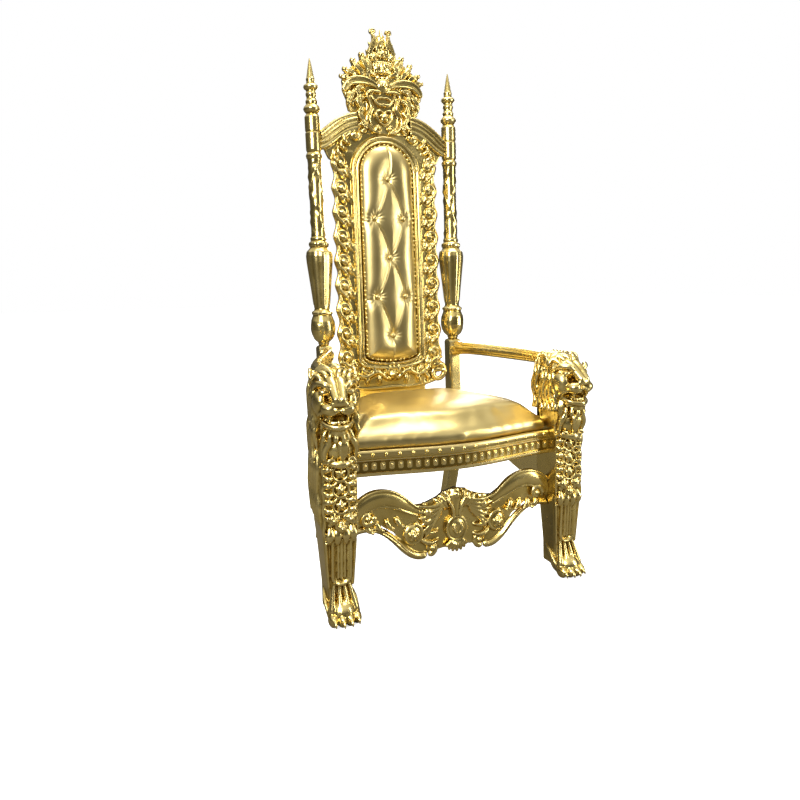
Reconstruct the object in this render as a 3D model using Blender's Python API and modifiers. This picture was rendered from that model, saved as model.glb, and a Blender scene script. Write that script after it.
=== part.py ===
"""A gilded lion throne: carved front legs, turned back uprights, a tufted arched back and a padded seat.

Metres, +Z up, the sitter faces -Y. The floor is z = 0 and the origin lies under the middle of the throne.
Carved pieces are overlapping strokes and balls, fused into one skin and cut flat where they meet others.
"""

import math

import bmesh
import bpy
from mathutils import Matrix, Vector

# Driving dimensions of the whole throne
OVERALL_HEIGHT = 1.75
ARM_HEIGHT = 0.68
LEG_SPACING = 0.72
SEAT_DEPTH = 0.447
BACK_RAKE = math.radians(2.6)
HEAD_TURN = math.radians(12)

# Rear uprights: a square leg that splays back under a turned post
POST_HEIGHT = 1.625
POST_SPACING_SEAT = 0.475
POST_SPACING_TOP = 0.503
POST_RADIUS = 0.0255
REAR_LEG_SPLAY = 0.11
REAR_LEG_SIZE = 0.046
STILE_TOP = ARM_HEIGHT + 0.008
POST_REEDS = 6

# Seat frame
RAIL_BOTTOM = 0.372
RAIL_HEIGHT = 0.068
RAIL_THICKNESS = 0.03
RAIL_FORWARD = 0.012
SIDE_RAIL_THICKNESS = 0.024
SIDE_RAIL_INSET = 0.014
REAR_RAIL_THICKNESS = 0.028
FRONT_BOW = 0.045
SKIRT_DROP = 0.11
DENTIL_COUNT = 26
DENTIL_DEPTH = 0.005
DENTIL_HEIGHT = 0.018
CUSHION_EDGE = 0.045
CUSHION_CROWN = 0.045
CUSHION_FRONT_WIDTH = 0.66
CUSHION_OVERHANG = 0.002

# Stretcher between the front legs
STRETCHER_MIDDLE = 0.187
STRETCHER_THICKNESS = 0.022
LEG_FLAT_FOOT = 0.19

# Back: an arched opening in a carved frame
OPENING_WIDTH = 0.197
OPENING_BOTTOM = 0.648
OPENING_SAG = 0.026
ARCH_TOP = 1.364
FRAME_THICKNESS = 0.026
FRAME_WIDTH = 0.39
MOULDING_WIDTH = 0.026
APRON_BOTTOM = 0.53
RAIL_END = 1.358
PANEL_THICKNESS = 0.008
REBATE = 0.01
PAD_BULGE = 0.022
PAD_EDGE = 0.012
BUTTON_DIAMETER = 0.018
BUTTON_TOP = 1.242
BUTTON_PITCH = 0.132
BUTTON_SPREAD = 0.104
HOLLOW_DEPTH = 0.014

# Crest over the back
CREST_WIDTH = 0.3
CREST_FOOT = 1.396
CREST_SEAT_WIDTH = 0.19
CREST_SHOULDER = 1.462
CREST_THICKNESS = 0.026

# Arms
ARM_DIAMETER = 0.042
ARM_CENTRE_BACK = ARM_HEIGHT - 0.022
ARM_CENTRE_FRONT = ARM_HEIGHT - 0.032
ARM_STEPS = 9
ARM_SIDES = 10

# Fits
CLEARANCE = 0.0004
SOFT_CLEARANCE = 0.002

# Skins of the carved pieces
LEG_TRIANGLES = 1250
FRAME_TRIANGLES = 1400
CREST_TRIANGLES = 850
STRETCHER_TRIANGLES = 700
VOXEL = 0.0036
FINE_VOXEL = 0.85 * VOXEL

SEAT_TOP = RAIL_BOTTOM + RAIL_HEIGHT
LEG_X = LEG_SPACING / 2
LEG_CM = ARM_HEIGHT / 68
LEG_FLAT = 4.7 * LEG_CM
BACK_PLANE = (
    Matrix.Translation((0, SEAT_DEPTH, SEAT_TOP))
    @ Matrix.Rotation(-BACK_RAKE, 4, "X")
    @ Matrix.Translation((0, 0, -SEAT_TOP))
)

# Finishes: colour, roughness and metallic
GOLD = ((0.78, 0.57, 0.2), 0.28, 1.0)
LEATHER = ((0.8, 0.62, 0.27), 0.36, 0.75)
BACKING = ((0.05, 0.035, 0.02), 0.7, 0.0)


def clear_scene():
    for obj in list(bpy.data.objects):
        bpy.data.objects.remove(obj, do_unlink=True)


def collection(name):
    made = bpy.data.collections.new(name)
    bpy.context.scene.collection.children.link(made)
    return made


def material(name, colour, roughness, metallic):
    made = bpy.data.materials.get(name) or bpy.data.materials.new(name)
    made.use_nodes = True
    shader = made.node_tree.nodes["Principled BSDF"]
    shader.inputs["Base Color"].default_value = (*colour, 1)
    shader.inputs["Roughness"].default_value = roughness
    shader.inputs["Metallic"].default_value = metallic
    return made


def make_object(name, bm, finish, group):
    mesh = bpy.data.meshes.new(name)
    bmesh.ops.recalc_face_normals(bm, faces=bm.faces)
    bm.to_mesh(mesh)
    bm.free()
    obj = bpy.data.objects.new(name, mesh)
    group.objects.link(obj)
    mesh.materials.append(material(name, *finish))
    return obj


def applied(obj):
    """The same object with its modifiers made into its mesh."""
    bpy.context.view_layer.update()
    graph = bpy.context.evaluated_depsgraph_get()
    mesh = bpy.data.meshes.new_from_object(obj.evaluated_get(graph))
    obj.modifiers.clear()
    obj.data = mesh
    return obj


# Shapes that are fused or joined

def add_ball(bm, centre, radii, segments=12, rings=8):
    place = Matrix.Translation(centre) @ Matrix.Diagonal((*radii, 1))
    bmesh.ops.create_uvsphere(bm, u_segments=segments, v_segments=rings, radius=1, matrix=place)


def add_block(bm, low, high):
    low, high = Vector(low), Vector(high)
    place = Matrix.Translation((low + high) / 2) @ Matrix.Diagonal((*(high - low), 1))
    bmesh.ops.create_cube(bm, size=1, matrix=place)


def skin(bm, rings, loop=False):
    """Faces between rings of points, each as long as the next, with flat ends or closed on itself."""
    rows = [[bm.verts.new(point) for point in ring] for ring in rings]
    if loop:
        rows.append(rows[0])
    count = len(rows[0])
    for lower, upper in zip(rows, rows[1:]):
        for i in range(count):
            j = (i + 1) % count
            bm.faces.new((lower[i], lower[j], upper[j], upper[i]))
    if not loop:
        bm.faces.new(rows[0][::-1])
        bm.faces.new(rows[-1])


def along(points, share):
    """A point of a polyline by its share of the number of steps."""
    place = share * (len(points) - 1)
    i = min(int(place), len(points) - 2)
    return points[i].lerp(points[i + 1], place - i)


def curve(*controls, steps=10):
    """Points of a Bezier curve of any degree."""
    found = []
    for k in range(steps + 1):
        level = [Vector(c) for c in controls]
        while len(level) > 1:
            level = [a.lerp(b, k / steps) for a, b in zip(level, level[1:])]
        found.append(level[0])
    return found


def volute(centre, radius, start, turns, steps=14, y=0.0, end=0.22):
    """A spiral in the XZ plane that winds in from its radius; the angles are in turns."""
    found = []
    for k in range(steps + 1):
        share = k / steps
        reach = radius * (1 - (1 - end) * share)
        angle = 2 * math.pi * (start + turns * share)
        found.append(Vector((centre[0] + reach * math.cos(angle), y, centre[1] + reach * math.sin(angle))))
    return found


def add_stroke(bm, points, widths, flat=0.8, sides=7):
    """A rounded bar along the points: widths are its half-widths, and flat its depth against its width."""
    points = [Vector(p) for p in points]
    last = len(points) - 1
    rings = []
    side = None
    for i, point in enumerate(points):
        ahead = (points[min(i + 1, last)] - points[max(i - 1, 0)]).normalized()
        if side is None:
            start = Vector((0, 1, 0)) if abs(ahead.y) < 0.9 else Vector((1, 0, 0))
            side = ahead.cross(start).normalized()
        side = (side - ahead * side.dot(ahead)).normalized()
        deep = ahead.cross(side)
        place = i / last * (len(widths) - 1)
        k = min(int(place), len(widths) - 2)
        width = widths[k] + (widths[k + 1] - widths[k]) * (place - k)
        ring = [
            point
            + side * width * math.cos(2 * math.pi * s / sides)
            + deep * width * flat * math.sin(2 * math.pi * s / sides)
            for s in range(sides)
        ]
        cap = [point + (p - point) * 0.5 for p in ring]
        if i == 0:
            rings.append([p - ahead * width * 0.6 for p in cap])
        rings.append(ring)
        if i == last:
            rings.append([p + ahead * width * 0.6 for p in cap])
    skin(bm, rings)


def add_slab(bm, outline, front, back):
    """An outline of (x, z) points, extruded in depth."""
    skin(bm, [[Vector((x, front, z)) for x, z in outline], [Vector((x, back, z)) for x, z in outline]])


def add_rosette(bm, centre, radius, petals=5):
    """A flower seen from the front: a ring of round petals round a bead."""
    centre = Vector(centre)
    petal = (radius * 0.42, radius * 0.36, radius * 0.42)
    for k in range(petals):
        angle = 2 * math.pi * (k + 0.25) / petals
        out = Vector((math.cos(angle), 0, math.sin(angle)))
        add_ball(bm, centre + out * radius * 0.62, petal, segments=8, rings=6)
    add_ball(bm, centre + Vector((0, -1, 0)) * radius * 0.28, (radius * 0.34,) * 3, segments=8, rings=6)


def add_leaf(bm, spine, width, lobes=3, depth=0.7):
    """An acanthus leaf: a midrib with pairs of lobes that lean towards the tip."""
    spine = [Vector(p) for p in spine]
    add_stroke(bm, spine, [width * 0.34, width * 0.4, width * 0.12], depth)
    for k in range(lobes):
        share = (k + 0.35) / (lobes + 0.3)
        root = along(spine, share)
        ahead = (along(spine, min(share + 0.1, 1)) - along(spine, max(share - 0.1, 0))).normalized()
        across = Vector((-ahead.z, 0, ahead.x))
        reach = width * (1 - 0.45 * share)
        for way in (-1, 1):
            tip = root + across * way * reach + ahead * reach * 0.7
            middle = root + across * way * reach * 0.75 + ahead * reach * 0.1
            lobe = curve(root, middle, tip, steps=4)
            add_stroke(bm, lobe, [width * 0.3, width * 0.28, width * 0.1], depth, 6)


def fused(name, bm, finish, group, voxel, triangles):
    """One closed skin round all the shapes in the mesh, with about that many triangles."""
    obj = make_object(name, bm, finish, group)
    remesh = obj.modifiers.new("fuse", "REMESH")
    remesh.mode = "VOXEL"
    remesh.voxel_size = voxel
    applied(obj)
    keep_largest(obj)
    obj.data.calc_loop_triangles()
    thin = obj.modifiers.new("facet", "DECIMATE")
    thin.ratio = min(1.0, triangles / len(obj.data.loop_triangles))
    thin.use_collapse_triangulate = True
    return applied(obj)


def keep_largest(obj):
    """Drops the crumbs that a voxel skin can leave beside the main body."""
    bm = bmesh.new()
    bm.from_mesh(obj.data)
    todo, islands = set(bm.verts), []
    while todo:
        island, front = set(), [todo.pop()]
        while front:
            vert = front.pop()
            island.add(vert)
            for edge in vert.link_edges:
                other = edge.other_vert(vert)
                if other in todo:
                    todo.discard(other)
                    front.append(other)
        islands.append(island)
    islands.sort(key=len)
    for island in islands[:-1]:
        bmesh.ops.delete(bm, geom=list(island), context="VERTS")
    bm.to_mesh(obj.data)
    bm.free()


def boolean(obj, tool, operation):
    step = obj.modifiers.new(operation.lower(), "BOOLEAN")
    step.operation = operation
    step.object = tool


def cutter(name, bm, group):
    """A hidden helper that another object is cut with, or joined to."""
    tool = make_object(name, bm, BACKING, group)
    tool.hide_render = True
    tool.display_type = "WIRE"
    return tool


def cut_block(obj, name, low, high, group):
    """Cuts a square-edged block out of the object."""
    bm = bmesh.new()
    add_block(bm, low, high)
    boolean(obj, cutter(name, bm, group), "DIFFERENCE")


# Front legs: a lion's head, chest and fluted shin over a paw, in centimetres of the leg, x outward

def cm(x, y, z):
    return Vector((x, y, z)) * LEG_CM


def rounded_square(half_x, front, back, z, round_off=0.3):
    """Twelve points round a square with rounded corners, at height z."""
    middle, half_y = (front + back) / 2, (back - front) / 2
    found = []
    for corner_x, corner_y in ((1, 1), (-1, 1), (-1, -1), (1, -1)):
        short = (corner_x * half_x * (1 - round_off), middle + corner_y * half_y)
        long = (corner_x * half_x, middle + corner_y * half_y * (1 - round_off))
        cut = round_off * 0.3
        mid = (corner_x * half_x * (1 - cut), middle + corner_y * half_y * (1 - cut))
        pair = [long, mid, short] if corner_x * corner_y > 0 else [short, mid, long]
        found += [cm(x, y, z) for x, y in pair]
    return found


def leg_core(bm):
    """The plain post inside the leg: half-width, front and back at each height."""
    sections = (
        (2.5, 3.5, -3.6, 3.7), (9, 3.5, -3.6, 3.9), (21, 4.4, -4.3, 4.6), (26, 4.9, -4.8, 5.2),
        (36, 5.2, -5.0, 5.4), (48, 5.1, -4.6, 5.4), (57, 5.0, -3.6, 5.4), (64, 4.2, -2.0, 5.0),
    )
    skin(bm, [rounded_square(half, front, back, z) for z, half, front, back in sections])


def add_paw(bm):
    """Four toes with claws, and the tendons that run down to them."""
    add_ball(bm, cm(0, -3.4, 3.2), cm(4.3, 5.0, 3.6))
    for k in range(4):
        x = (k - 1.5) * 2.15
        reach = -7.4 + abs(x) * 0.35
        add_ball(bm, cm(x, reach, 1.9), cm(1.25, 2.3, 2.0), segments=10, rings=6)
        add_stroke(bm, [cm(x, reach - 1.6, 1.5), cm(x, reach - 2.6, 0.4)], [0.006, 0.002], 1, 6)
        tendon = curve(cm(x * 0.7, -3.5, 9.3), cm(x * 0.9, -4.6, 7), cm(x, reach, 3))
        add_stroke(bm, tendon, [0.008, 0.012], 1)


def add_shin_panel(bm):
    """A raised rim with a round foot, and three reeds within it."""
    def face(x, z):
        return cm(x, -3.5 - (z - 9) * 0.062, z)
    half, foot, top = 2.6, 12.6, 22.5
    rim = [face(-half, top)]
    rim += [face(-half * math.cos(a), foot - half * math.sin(a)) for a in (k * math.pi / 8 for k in range(9))]
    rim.append(face(half, top))
    add_stroke(bm, rim, [0.006, 0.006], 1.2, 6)
    for x in (-1.1, 0, 1.1):
        add_stroke(bm, [face(x, foot - 0.8), face(x, top)], [0.0042, 0.0042], 1.2, 6)


def add_roses(bm):
    """A drooping bib, a cluster and a column of roses up the front of the leg, between two ribbons."""
    for x in (-2.9, 0, 2.9):
        add_ball(bm, cm(x, -4.9, 23.6), cm(1.7, 1.0, 2.2 + 0.3 * (x == 0)), segments=8, rings=6)
    cluster = ((-2.2, 28.6, 2.0), (2.2, 28.6, 2.0), (0, 26.2, 2.1))
    column = ((0, 32, 2.0), (0, 36.3, 1.9), (0, 40.6, 1.8))
    for x, z, radius in cluster + column:
        add_rosette(bm, cm(x, -5.3, z), radius * LEG_CM)
    for way in (-1, 1):
        ribbon = [cm(way * (2.9 + 0.5 * math.sin(k * 1.35)), -5.0, 25 + k * 1.5) for k in range(13)]
        add_stroke(bm, ribbon, [0.006, 0.007, 0.006], 1, 6)
        for k in range(4):
            low = 27 + k * 4.6
            lock = curve(cm(way * 4.9, 3.2, low), cm(way * 5.9, 1.2, low + 3), cm(way * 5.2, -3.4, low + 6))
            add_stroke(bm, lock, [0.004, 0.009, 0.003], 0.9, 6)


def add_chest(bm):
    """The leaf bracket under the chin, with a scroll on each side, and the locks of the chest."""
    add_ball(bm, cm(0, -2.4, 50), cm(5.2, 4.6, 6.6))
    add_leaf(bm, curve(cm(0, -6.6, 44.2), cm(0, -8.6, 47), cm(0, -6.4, 50.5)), 2.6 * LEG_CM, 2, 0.8)
    add_stroke(bm, [cm(-3.9, -5.0, 43.6), cm(0, -6.9, 43), cm(3.9, -5.0, 43.6)], [0.007, 0.011, 0.007], 0.8)
    for way in (-1, 1):
        add_ball(bm, cm(way * 3.5, -5.3, 45.6), cm(1.7, 1.5, 1.9), segments=10, rings=6)
        strap = curve(cm(way * 1.6, -6.6, 49.8), cm(way * 5, -6.4, 49), cm(way * 3.9, -5.6, 46))
        add_stroke(bm, strap, [0.006, 0.01], 0.9)
        for k in range(5):
            y = -3.2 + k * 1.9
            tip = cm(way * 4.9, y - 0.4, 46.5 - k * 0.6)
            lock = curve(cm(way * 5.4, y, 57), cm(way * 6.2, y - 0.8, 52), tip)
            add_stroke(bm, lock, [0.008, 0.011, 0.003], 0.8, 6)


def add_face(head):
    """The skull, the broad nose, the brows and the open mouth with its fangs."""
    add_ball(head, cm(0, -1.6, 60.4), cm(5.2, 5.6, 6.0))
    add_ball(head, cm(0, -7.2, 58.9), cm(3.0, 3.2, 2.2))
    bridge = curve(cm(0, -5.6, 65.2), cm(0, -7.6, 63), cm(0, -10.0, 60.8))
    add_stroke(head, bridge, [0.019, 0.016, 0.013], 0.8)
    add_ball(head, cm(0, -10.4, 60.4), cm(1.5, 1.0, 0.9), segments=8, rings=6)
    add_ball(head, cm(0, -6.6, 53.8), cm(2.5, 2.9, 1.4))
    add_ball(head, cm(0, -8.2, 54.6), cm(1.3, 1.4, 0.7), segments=8, rings=6)
    add_stroke(head, curve(cm(0, -8.6, 53.4), cm(0, -7.2, 51), cm(0, -5, 50)), [0.012, 0.008, 0.003], 1)
    for way in (-1, 1):
        add_ball(head, cm(way * 1.5, -8.9, 58.2), cm(1.7, 1.8, 1.3), segments=10, rings=6)
        add_ball(head, cm(way * 3.6, -5.2, 59.4), cm(1.9, 2.4, 2.4), segments=10, rings=6)
        add_ball(head, cm(way * 2.6, -6.4, 62.7), cm(0.95, 0.8, 0.8), segments=8, rings=6)
        brow = curve(cm(way * 0.9, -7.2, 63.4), cm(way * 2.6, -7.4, 65), cm(way * 4.2, -5.2, 64))
        add_stroke(head, brow, [0.007, 0.009, 0.004])
        add_stroke(head, [cm(way * 1.5, -9.5, 57.6), cm(way * 1.5, -9.5, 55.6)], [0.0055, 0.002], 1, 6)
        add_stroke(head, [cm(way * 1.6, -8.6, 54), cm(way * 1.6, -8.8, 56.0)], [0.005, 0.002], 1, 6)
        lip = curve(cm(way * 2.4, -7.6, 57.6), cm(way * 4.2, -6, 56), cm(way * 2.6, -6.4, 53.6))
        add_stroke(head, lip, [0.006, 0.006])
        add_ball(head, cm(way * 4.4, -1.4, 65.8), cm(1.5, 0.9, 1.5), segments=8, rings=6)


def add_mane(head):
    """Two rings of locks round the face, the tips swinging to and fro."""
    locks = 13
    rows = ((4.7, 6.5, -4.6, -2.8), (5.2, 6.9, -1.4, 1.6))
    for k in range(locks):
        angle = math.pi * (-0.32 + 1.64 * k / (locks - 1))
        out_x, out_z = math.cos(angle), math.sin(angle)
        for ring, (near, far, y_near, y_far) in enumerate(rows):
            swing = 0.22 * (-1) ** (k + ring)
            tip_x, tip_z = math.cos(angle + swing), math.sin(angle + swing)
            start = cm(near * out_x, y_near, 60.6 + near * out_z)
            middle = cm((far + 0.3) * out_x, (y_near + y_far) / 2 - 0.4, 60.6 + (far + 0.3) * out_z)
            end = cm(far * tip_x, y_far, 60.6 + far * tip_z)
            add_stroke(head, curve(start, middle, end, steps=5), [0.009, 0.011, 0.004], 1, 6)


def add_head(bm):
    """An open-mouthed lion's head with a combed mane, built facing front and turned outward."""
    head = bmesh.new()
    add_face(head)
    add_mane(head)
    bmesh.ops.transform(head, matrix=Matrix.Rotation(HEAD_TURN, 4, "Z"), verts=head.verts)
    mesh = bpy.data.meshes.new("head")
    head.to_mesh(mesh)
    head.free()
    bm.from_mesh(mesh)
    bpy.data.meshes.remove(mesh)


def front_legs(group, tools):
    """Two legs, each carved in one from paw to head. The left one mirrors the right one."""
    bm = bmesh.new()
    leg_core(bm)
    add_paw(bm)
    add_shin_panel(bm)
    add_roses(bm)
    add_chest(bm)
    add_head(bm)
    leg = fused("front_leg_right", bm, GOLD, group, VOXEL, LEG_TRIANGLES)
    span = 0.2
    cut_block(leg, "leg_floor", (-span, -span, -span), (span, span, 0), tools)
    beside_seat = SEAT_TOP + CUSHION_EDGE + CUSHION_CROWN / 2
    cut_block(leg, "leg_inner", (-span, -span, LEG_FLAT_FOOT), (-LEG_FLAT, span, beside_seat), tools)
    cut_block(leg, "leg_back", (-span, LEG_FLAT, LEG_FLAT_FOOT), (span, span, ARM_HEIGHT + span), tools)
    applied(leg)
    leg.location = (LEG_X, 0, 0)
    mesh = leg.data.copy()
    mesh.transform(Matrix.Diagonal((-1, 1, 1, 1)))
    mesh.flip_normals()
    twin = bpy.data.objects.new("front_leg_left", mesh)
    group.objects.link(twin)
    twin.location = (-LEG_X, 0, 0)


# Rear uprights

def upright_axis(side, z):
    """The middle line of an upright: straight and raked above the seat, splayed back below it."""
    rise = (z - SEAT_TOP) / (POST_HEIGHT - SEAT_TOP)
    x = (POST_SPACING_SEAT + (POST_SPACING_TOP - POST_SPACING_SEAT) * rise) / 2
    y = SEAT_DEPTH + (z - SEAT_TOP) * math.tan(BACK_RAKE)
    if z < RAIL_BOTTOM:
        x = POST_SPACING_SEAT / 2
        drop = 1 - z / RAIL_BOTTOM
        y = SEAT_DEPTH + (RAIL_BOTTOM - SEAT_TOP) * math.tan(BACK_RAKE) + REAR_LEG_SPLAY * drop ** 1.6
    return Vector((side * x, y, z))


def square_ring(centre, half):
    """Points round a square, as many as a turned ring has."""
    found = []
    for k in range(2 * POST_REEDS):
        angle = math.pi / 4 + math.pi * k / POST_REEDS
        reach = half / max(abs(math.cos(angle)), abs(math.sin(angle)))
        found.append(centre + Vector((reach * math.cos(angle), reach * math.sin(angle), 0)))
    return found


def turned_ring(centre, radius, shape=lambda k, angle: 1.0):
    """Points round the axis. The shape gives each one's share of the radius."""
    found = []
    for k in range(2 * POST_REEDS):
        angle = 2 * math.pi * (k + 0.5) / (2 * POST_REEDS)
        reach = radius * shape(k, angle)
        found.append(centre + Vector((reach * math.cos(angle), reach * math.sin(angle), 0)))
    return found


def rear_upright(name, side, group):
    """A square leg and stile under a turned post with a bulb, a reeded vase, a carved shaft and a spire.

    The bulb and vase are placed by their heights over the stile, the collar by the top rail that ends
    on it, and the spire by its distance below the tip.
    """
    half = REAR_LEG_SIZE / 2
    square = [(RAIL_BOTTOM * k / 5, half * (0.86 + 0.028 * k)) for k in range(6)]
    square += [(SEAT_TOP, half), (STILE_TOP - 0.006, half), (STILE_TOP, half * 0.86)]
    bulb = (
        (0.004, 0.016), (0.012, 0.018), (0.024, 0.03), (0.054, 0.0395), (0.084, 0.038), (0.104, 0.031),
        (0.112, 0.034), (0.124, 0.025),
    )
    vase = ((0.144, 0.027), (0.182, 0.031), (0.242, 0.0375), (0.29, 0.042), (0.312, 0.04), (0.324, 0.03))
    necking = ((0.33, 0.031), (0.342, 0.031), (0.348, 0.024), (0.358, 0.0235))
    shaft_low, shaft_high = STILE_TOP + 0.378, RAIL_END - 0.056
    collar = ((-0.048, 0.027), (-0.036, 0.022), (-0.028, POST_RADIUS))
    spire = (
        (0.187, POST_RADIUS), (0.179, 0.019), (0.17, 0.0275), (0.158, 0.0275), (0.149, 0.018), (0.11, 0.016),
        (0.1, 0.024), (0.088, 0.024), (0.079, 0.018), (0.047, 0.012), (0.043, 0.014), (0.035, 0.009),
        (0.0, 0.003),
    )

    def axis(z):
        return upright_axis(side, z)

    rings = [square_ring(axis(z), size) for z, size in square]
    rings += [turned_ring(axis(STILE_TOP + z), r) for z, r in bulb]
    rings += [turned_ring(axis(STILE_TOP + z), r, lambda k, angle: 1 + 0.09 * (-1) ** k) for z, r in vase]
    rings += [turned_ring(axis(STILE_TOP + z), r) for z, r in necking]
    for step in range(8):
        z = shaft_low + (shaft_high - shaft_low) * step / 7
        twist = 1.25 * (step + 0.1)
        rings.append(turned_ring(axis(z), 0.0235, lambda k, angle: 1 + 0.1 * math.cos(2 * angle - twist)))
    rings += [turned_ring(axis(RAIL_END + z), r) for z, r in collar]
    rings += [turned_ring(axis(POST_HEIGHT - z), r) for z, r in spire]
    bm = bmesh.new()
    skin(bm, rings)
    return make_object(name, bm, GOLD, group)


# Arms

def arm(name, side, group, tools):
    """A moulded rail that sweeps outward from the stile to the back of the lion's head."""
    back = upright_axis(side, ARM_CENTRE_BACK)
    back_face = upright_axis(side, ARM_CENTRE_BACK - ARM_DIAMETER).y - REAR_LEG_SIZE / 2 - CLEARANCE
    front_face = LEG_FLAT + CLEARANCE
    start = Vector((back.x, back_face + 0.02, ARM_CENTRE_BACK))
    end = Vector((side * LEG_X, front_face - 0.02, ARM_CENTRE_FRONT))
    line = curve(
        start,
        start + Vector((side * 0.01, -0.12, 0.012)),
        start.lerp(end, 0.5) + Vector((side * 0.04, 0, -0.004)),
        end + Vector((side * 0.012, 0.12, 0.004)),
        end,
        steps=ARM_STEPS,
    )
    bm = bmesh.new()
    rings = []
    for i, point in enumerate(line):
        ahead = (line[min(i + 1, ARM_STEPS)] - line[max(i - 1, 0)]).normalized()
        across = ahead.cross(Vector((0, 0, 1))).normalized()
        upward = across.cross(ahead)
        swell = ARM_DIAMETER / 2 * (1.0 + 0.22 * max(0, 1 - i / 2))
        ring = []
        for k in range(ARM_SIDES):
            angle = 2 * math.pi * (k + 0.5) / ARM_SIDES
            reach = swell * (1 - 0.08 * (k in (1, 3)))
            ring.append(point + across * reach * math.cos(angle) + upward * reach * math.sin(angle))
        rings.append(ring)
    skin(bm, rings)
    rail = make_object(name, bm, GOLD, group)
    span = 0.6
    cut_block(rail, name + "_back", (-span, back_face, 0), (span, back_face + span, 1), tools)
    cut_block(rail, name + "_front", (-span, front_face - span, 0), (span, front_face, 1), tools)
    return applied(rail)


# Seat frame

def bow(x):
    """How far the serpentine front stands forward at x."""
    share = min(1, abs(x) / (LEG_X - LEG_FLAT))
    return FRONT_BOW * (0.5 + 0.5 * math.cos(math.pi * share)) ** 0.8


def front_rail(group, tools):
    """A bowed rail with a fillet at its foot and a row of dentils under the covering."""
    reach = LEG_X - LEG_FLAT - CLEARANCE
    steps = 12
    profile = (
        (0.0, -0.004), (0.004, 0.0), (0.012, 0.0), (0.016, -DENTIL_DEPTH), (0.04, -DENTIL_DEPTH),
        (0.044, 0.001), (RAIL_HEIGHT, 0.001),
    )
    sections = []
    for k in range(steps + 1):
        x = -reach + 2 * reach * k / steps
        front = -bow(x) - RAIL_FORWARD
        back = front + RAIL_THICKNESS
        section = [Vector((x, front - out, RAIL_BOTTOM + z)) for z, out in profile]
        section += [Vector((x, back, SEAT_TOP)), Vector((x, back, RAIL_BOTTOM))]
        sections.append(section)
    bm = bmesh.new()
    skin(bm, sections)
    rail = make_object("seat_front_rail", bm, GOLD, group)
    row = bmesh.new()
    pitch = 2 * reach / DENTIL_COUNT
    middle = RAIL_BOTTOM + 0.028
    for k in range(DENTIL_COUNT):
        x = -reach + pitch * (k + 0.5)
        front = -bow(x) - RAIL_FORWARD
        low = (x - pitch * 0.3, front - 0.0005, middle - DENTIL_HEIGHT / 2)
        high = (x + pitch * 0.3, front + 2 * DENTIL_DEPTH + 0.006, middle + DENTIL_HEIGHT / 2)
        add_block(row, low, high)
    boolean(rail, cutter("seat_front_rail_dentils", row, tools), "UNION")
    return applied(rail)


def side_rail(name, side, group):
    """A straight rail from the front leg to the stile, with a shaped skirt under it."""
    front = LEG_FLAT + CLEARANCE
    back = upright_axis(side, SEAT_TOP).y - REAR_LEG_SIZE / 2 - CLEARANCE - 0.004
    front_x = LEG_X - SIDE_RAIL_INSET
    steps = 10
    sections = []
    for k in range(steps + 1):
        share = k / steps
        y = front + (back - front) * share
        x = side * (front_x + (POST_SPACING_SEAT / 2 - front_x) * share)
        drop = SKIRT_DROP * (0.45 + 0.55 * math.cos(math.pi * share * 1.15)) if share < 0.87 else 0
        low = RAIL_BOTTOM - max(drop, 0.0)
        half = SIDE_RAIL_THICKNESS / 2
        sections.append([
            Vector((x - half, y, low)), Vector((x + half, y, low)), Vector((x + half, y, SEAT_TOP)),
            Vector((x - half, y, SEAT_TOP)),
        ])
    bm = bmesh.new()
    skin(bm, sections)
    return make_object(name, bm, GOLD, group)


def rear_rail(group):
    reach = POST_SPACING_SEAT / 2 - REAR_LEG_SIZE / 2 - CLEARANCE - 0.001
    half = REAR_RAIL_THICKNESS / 2
    bm = bmesh.new()
    add_block(bm, (-reach, SEAT_DEPTH - half, RAIL_BOTTOM), (reach, SEAT_DEPTH + half, SEAT_TOP))
    return make_object("seat_rear_rail", bm, GOLD, group)


def cushion_outline(inset):
    """The plan of the seat, notched for the legs and the uprights, shrunk by the inset."""
    steps = 10
    front_reach = LEG_X - LEG_FLAT - SOFT_CLEARANCE
    behind_leg = LEG_FLAT + SOFT_CLEARANCE + 0.012
    half_front = CUSHION_FRONT_WIDTH / 2
    half_back = POST_SPACING_SEAT / 2 - REAR_LEG_SIZE / 2 - SOFT_CLEARANCE
    corner = (half_back + 0.035, SEAT_DEPTH - 0.06)
    notch_y = SEAT_DEPTH - 0.055
    back_y = SEAT_DEPTH - 0.02 - SOFT_CLEARANCE
    found = []
    for k in range(steps + 1):
        x = -front_reach + 2 * front_reach * k / steps
        found.append((x, -bow(x) - RAIL_FORWARD - CUSHION_OVERHANG))
    right = [(front_reach, behind_leg), (half_front, behind_leg), corner]
    right += [(half_back, notch_y), (half_back, back_y)]
    found += right + [(-x, y) for x, y in reversed(right)]
    middle = Vector((0, SEAT_DEPTH * 0.45))
    return [middle + (Vector(place) - middle) * (1 - inset) for place in found]


def seat_cushion(group):
    """The crowned seat, plain and closed."""
    bottom = SEAT_TOP + CLEARANCE
    edge = bottom + CUSHION_EDGE
    layers = (
        (0.0, bottom),
        (0.0, bottom + CUSHION_EDGE * 0.75),
        (0.04, edge),
        (0.2, edge + CUSHION_CROWN * 0.5),
        (0.45, edge + CUSHION_CROWN * 0.85),
        (0.75, edge + CUSHION_CROWN),
    )
    bm = bmesh.new()
    skin(bm, [[Vector((p.x, p.y, z)) for p in cushion_outline(inset)] for inset, z in layers])
    return make_object("seat_cushion", bm, LEATHER, group)


# Front stretcher

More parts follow.
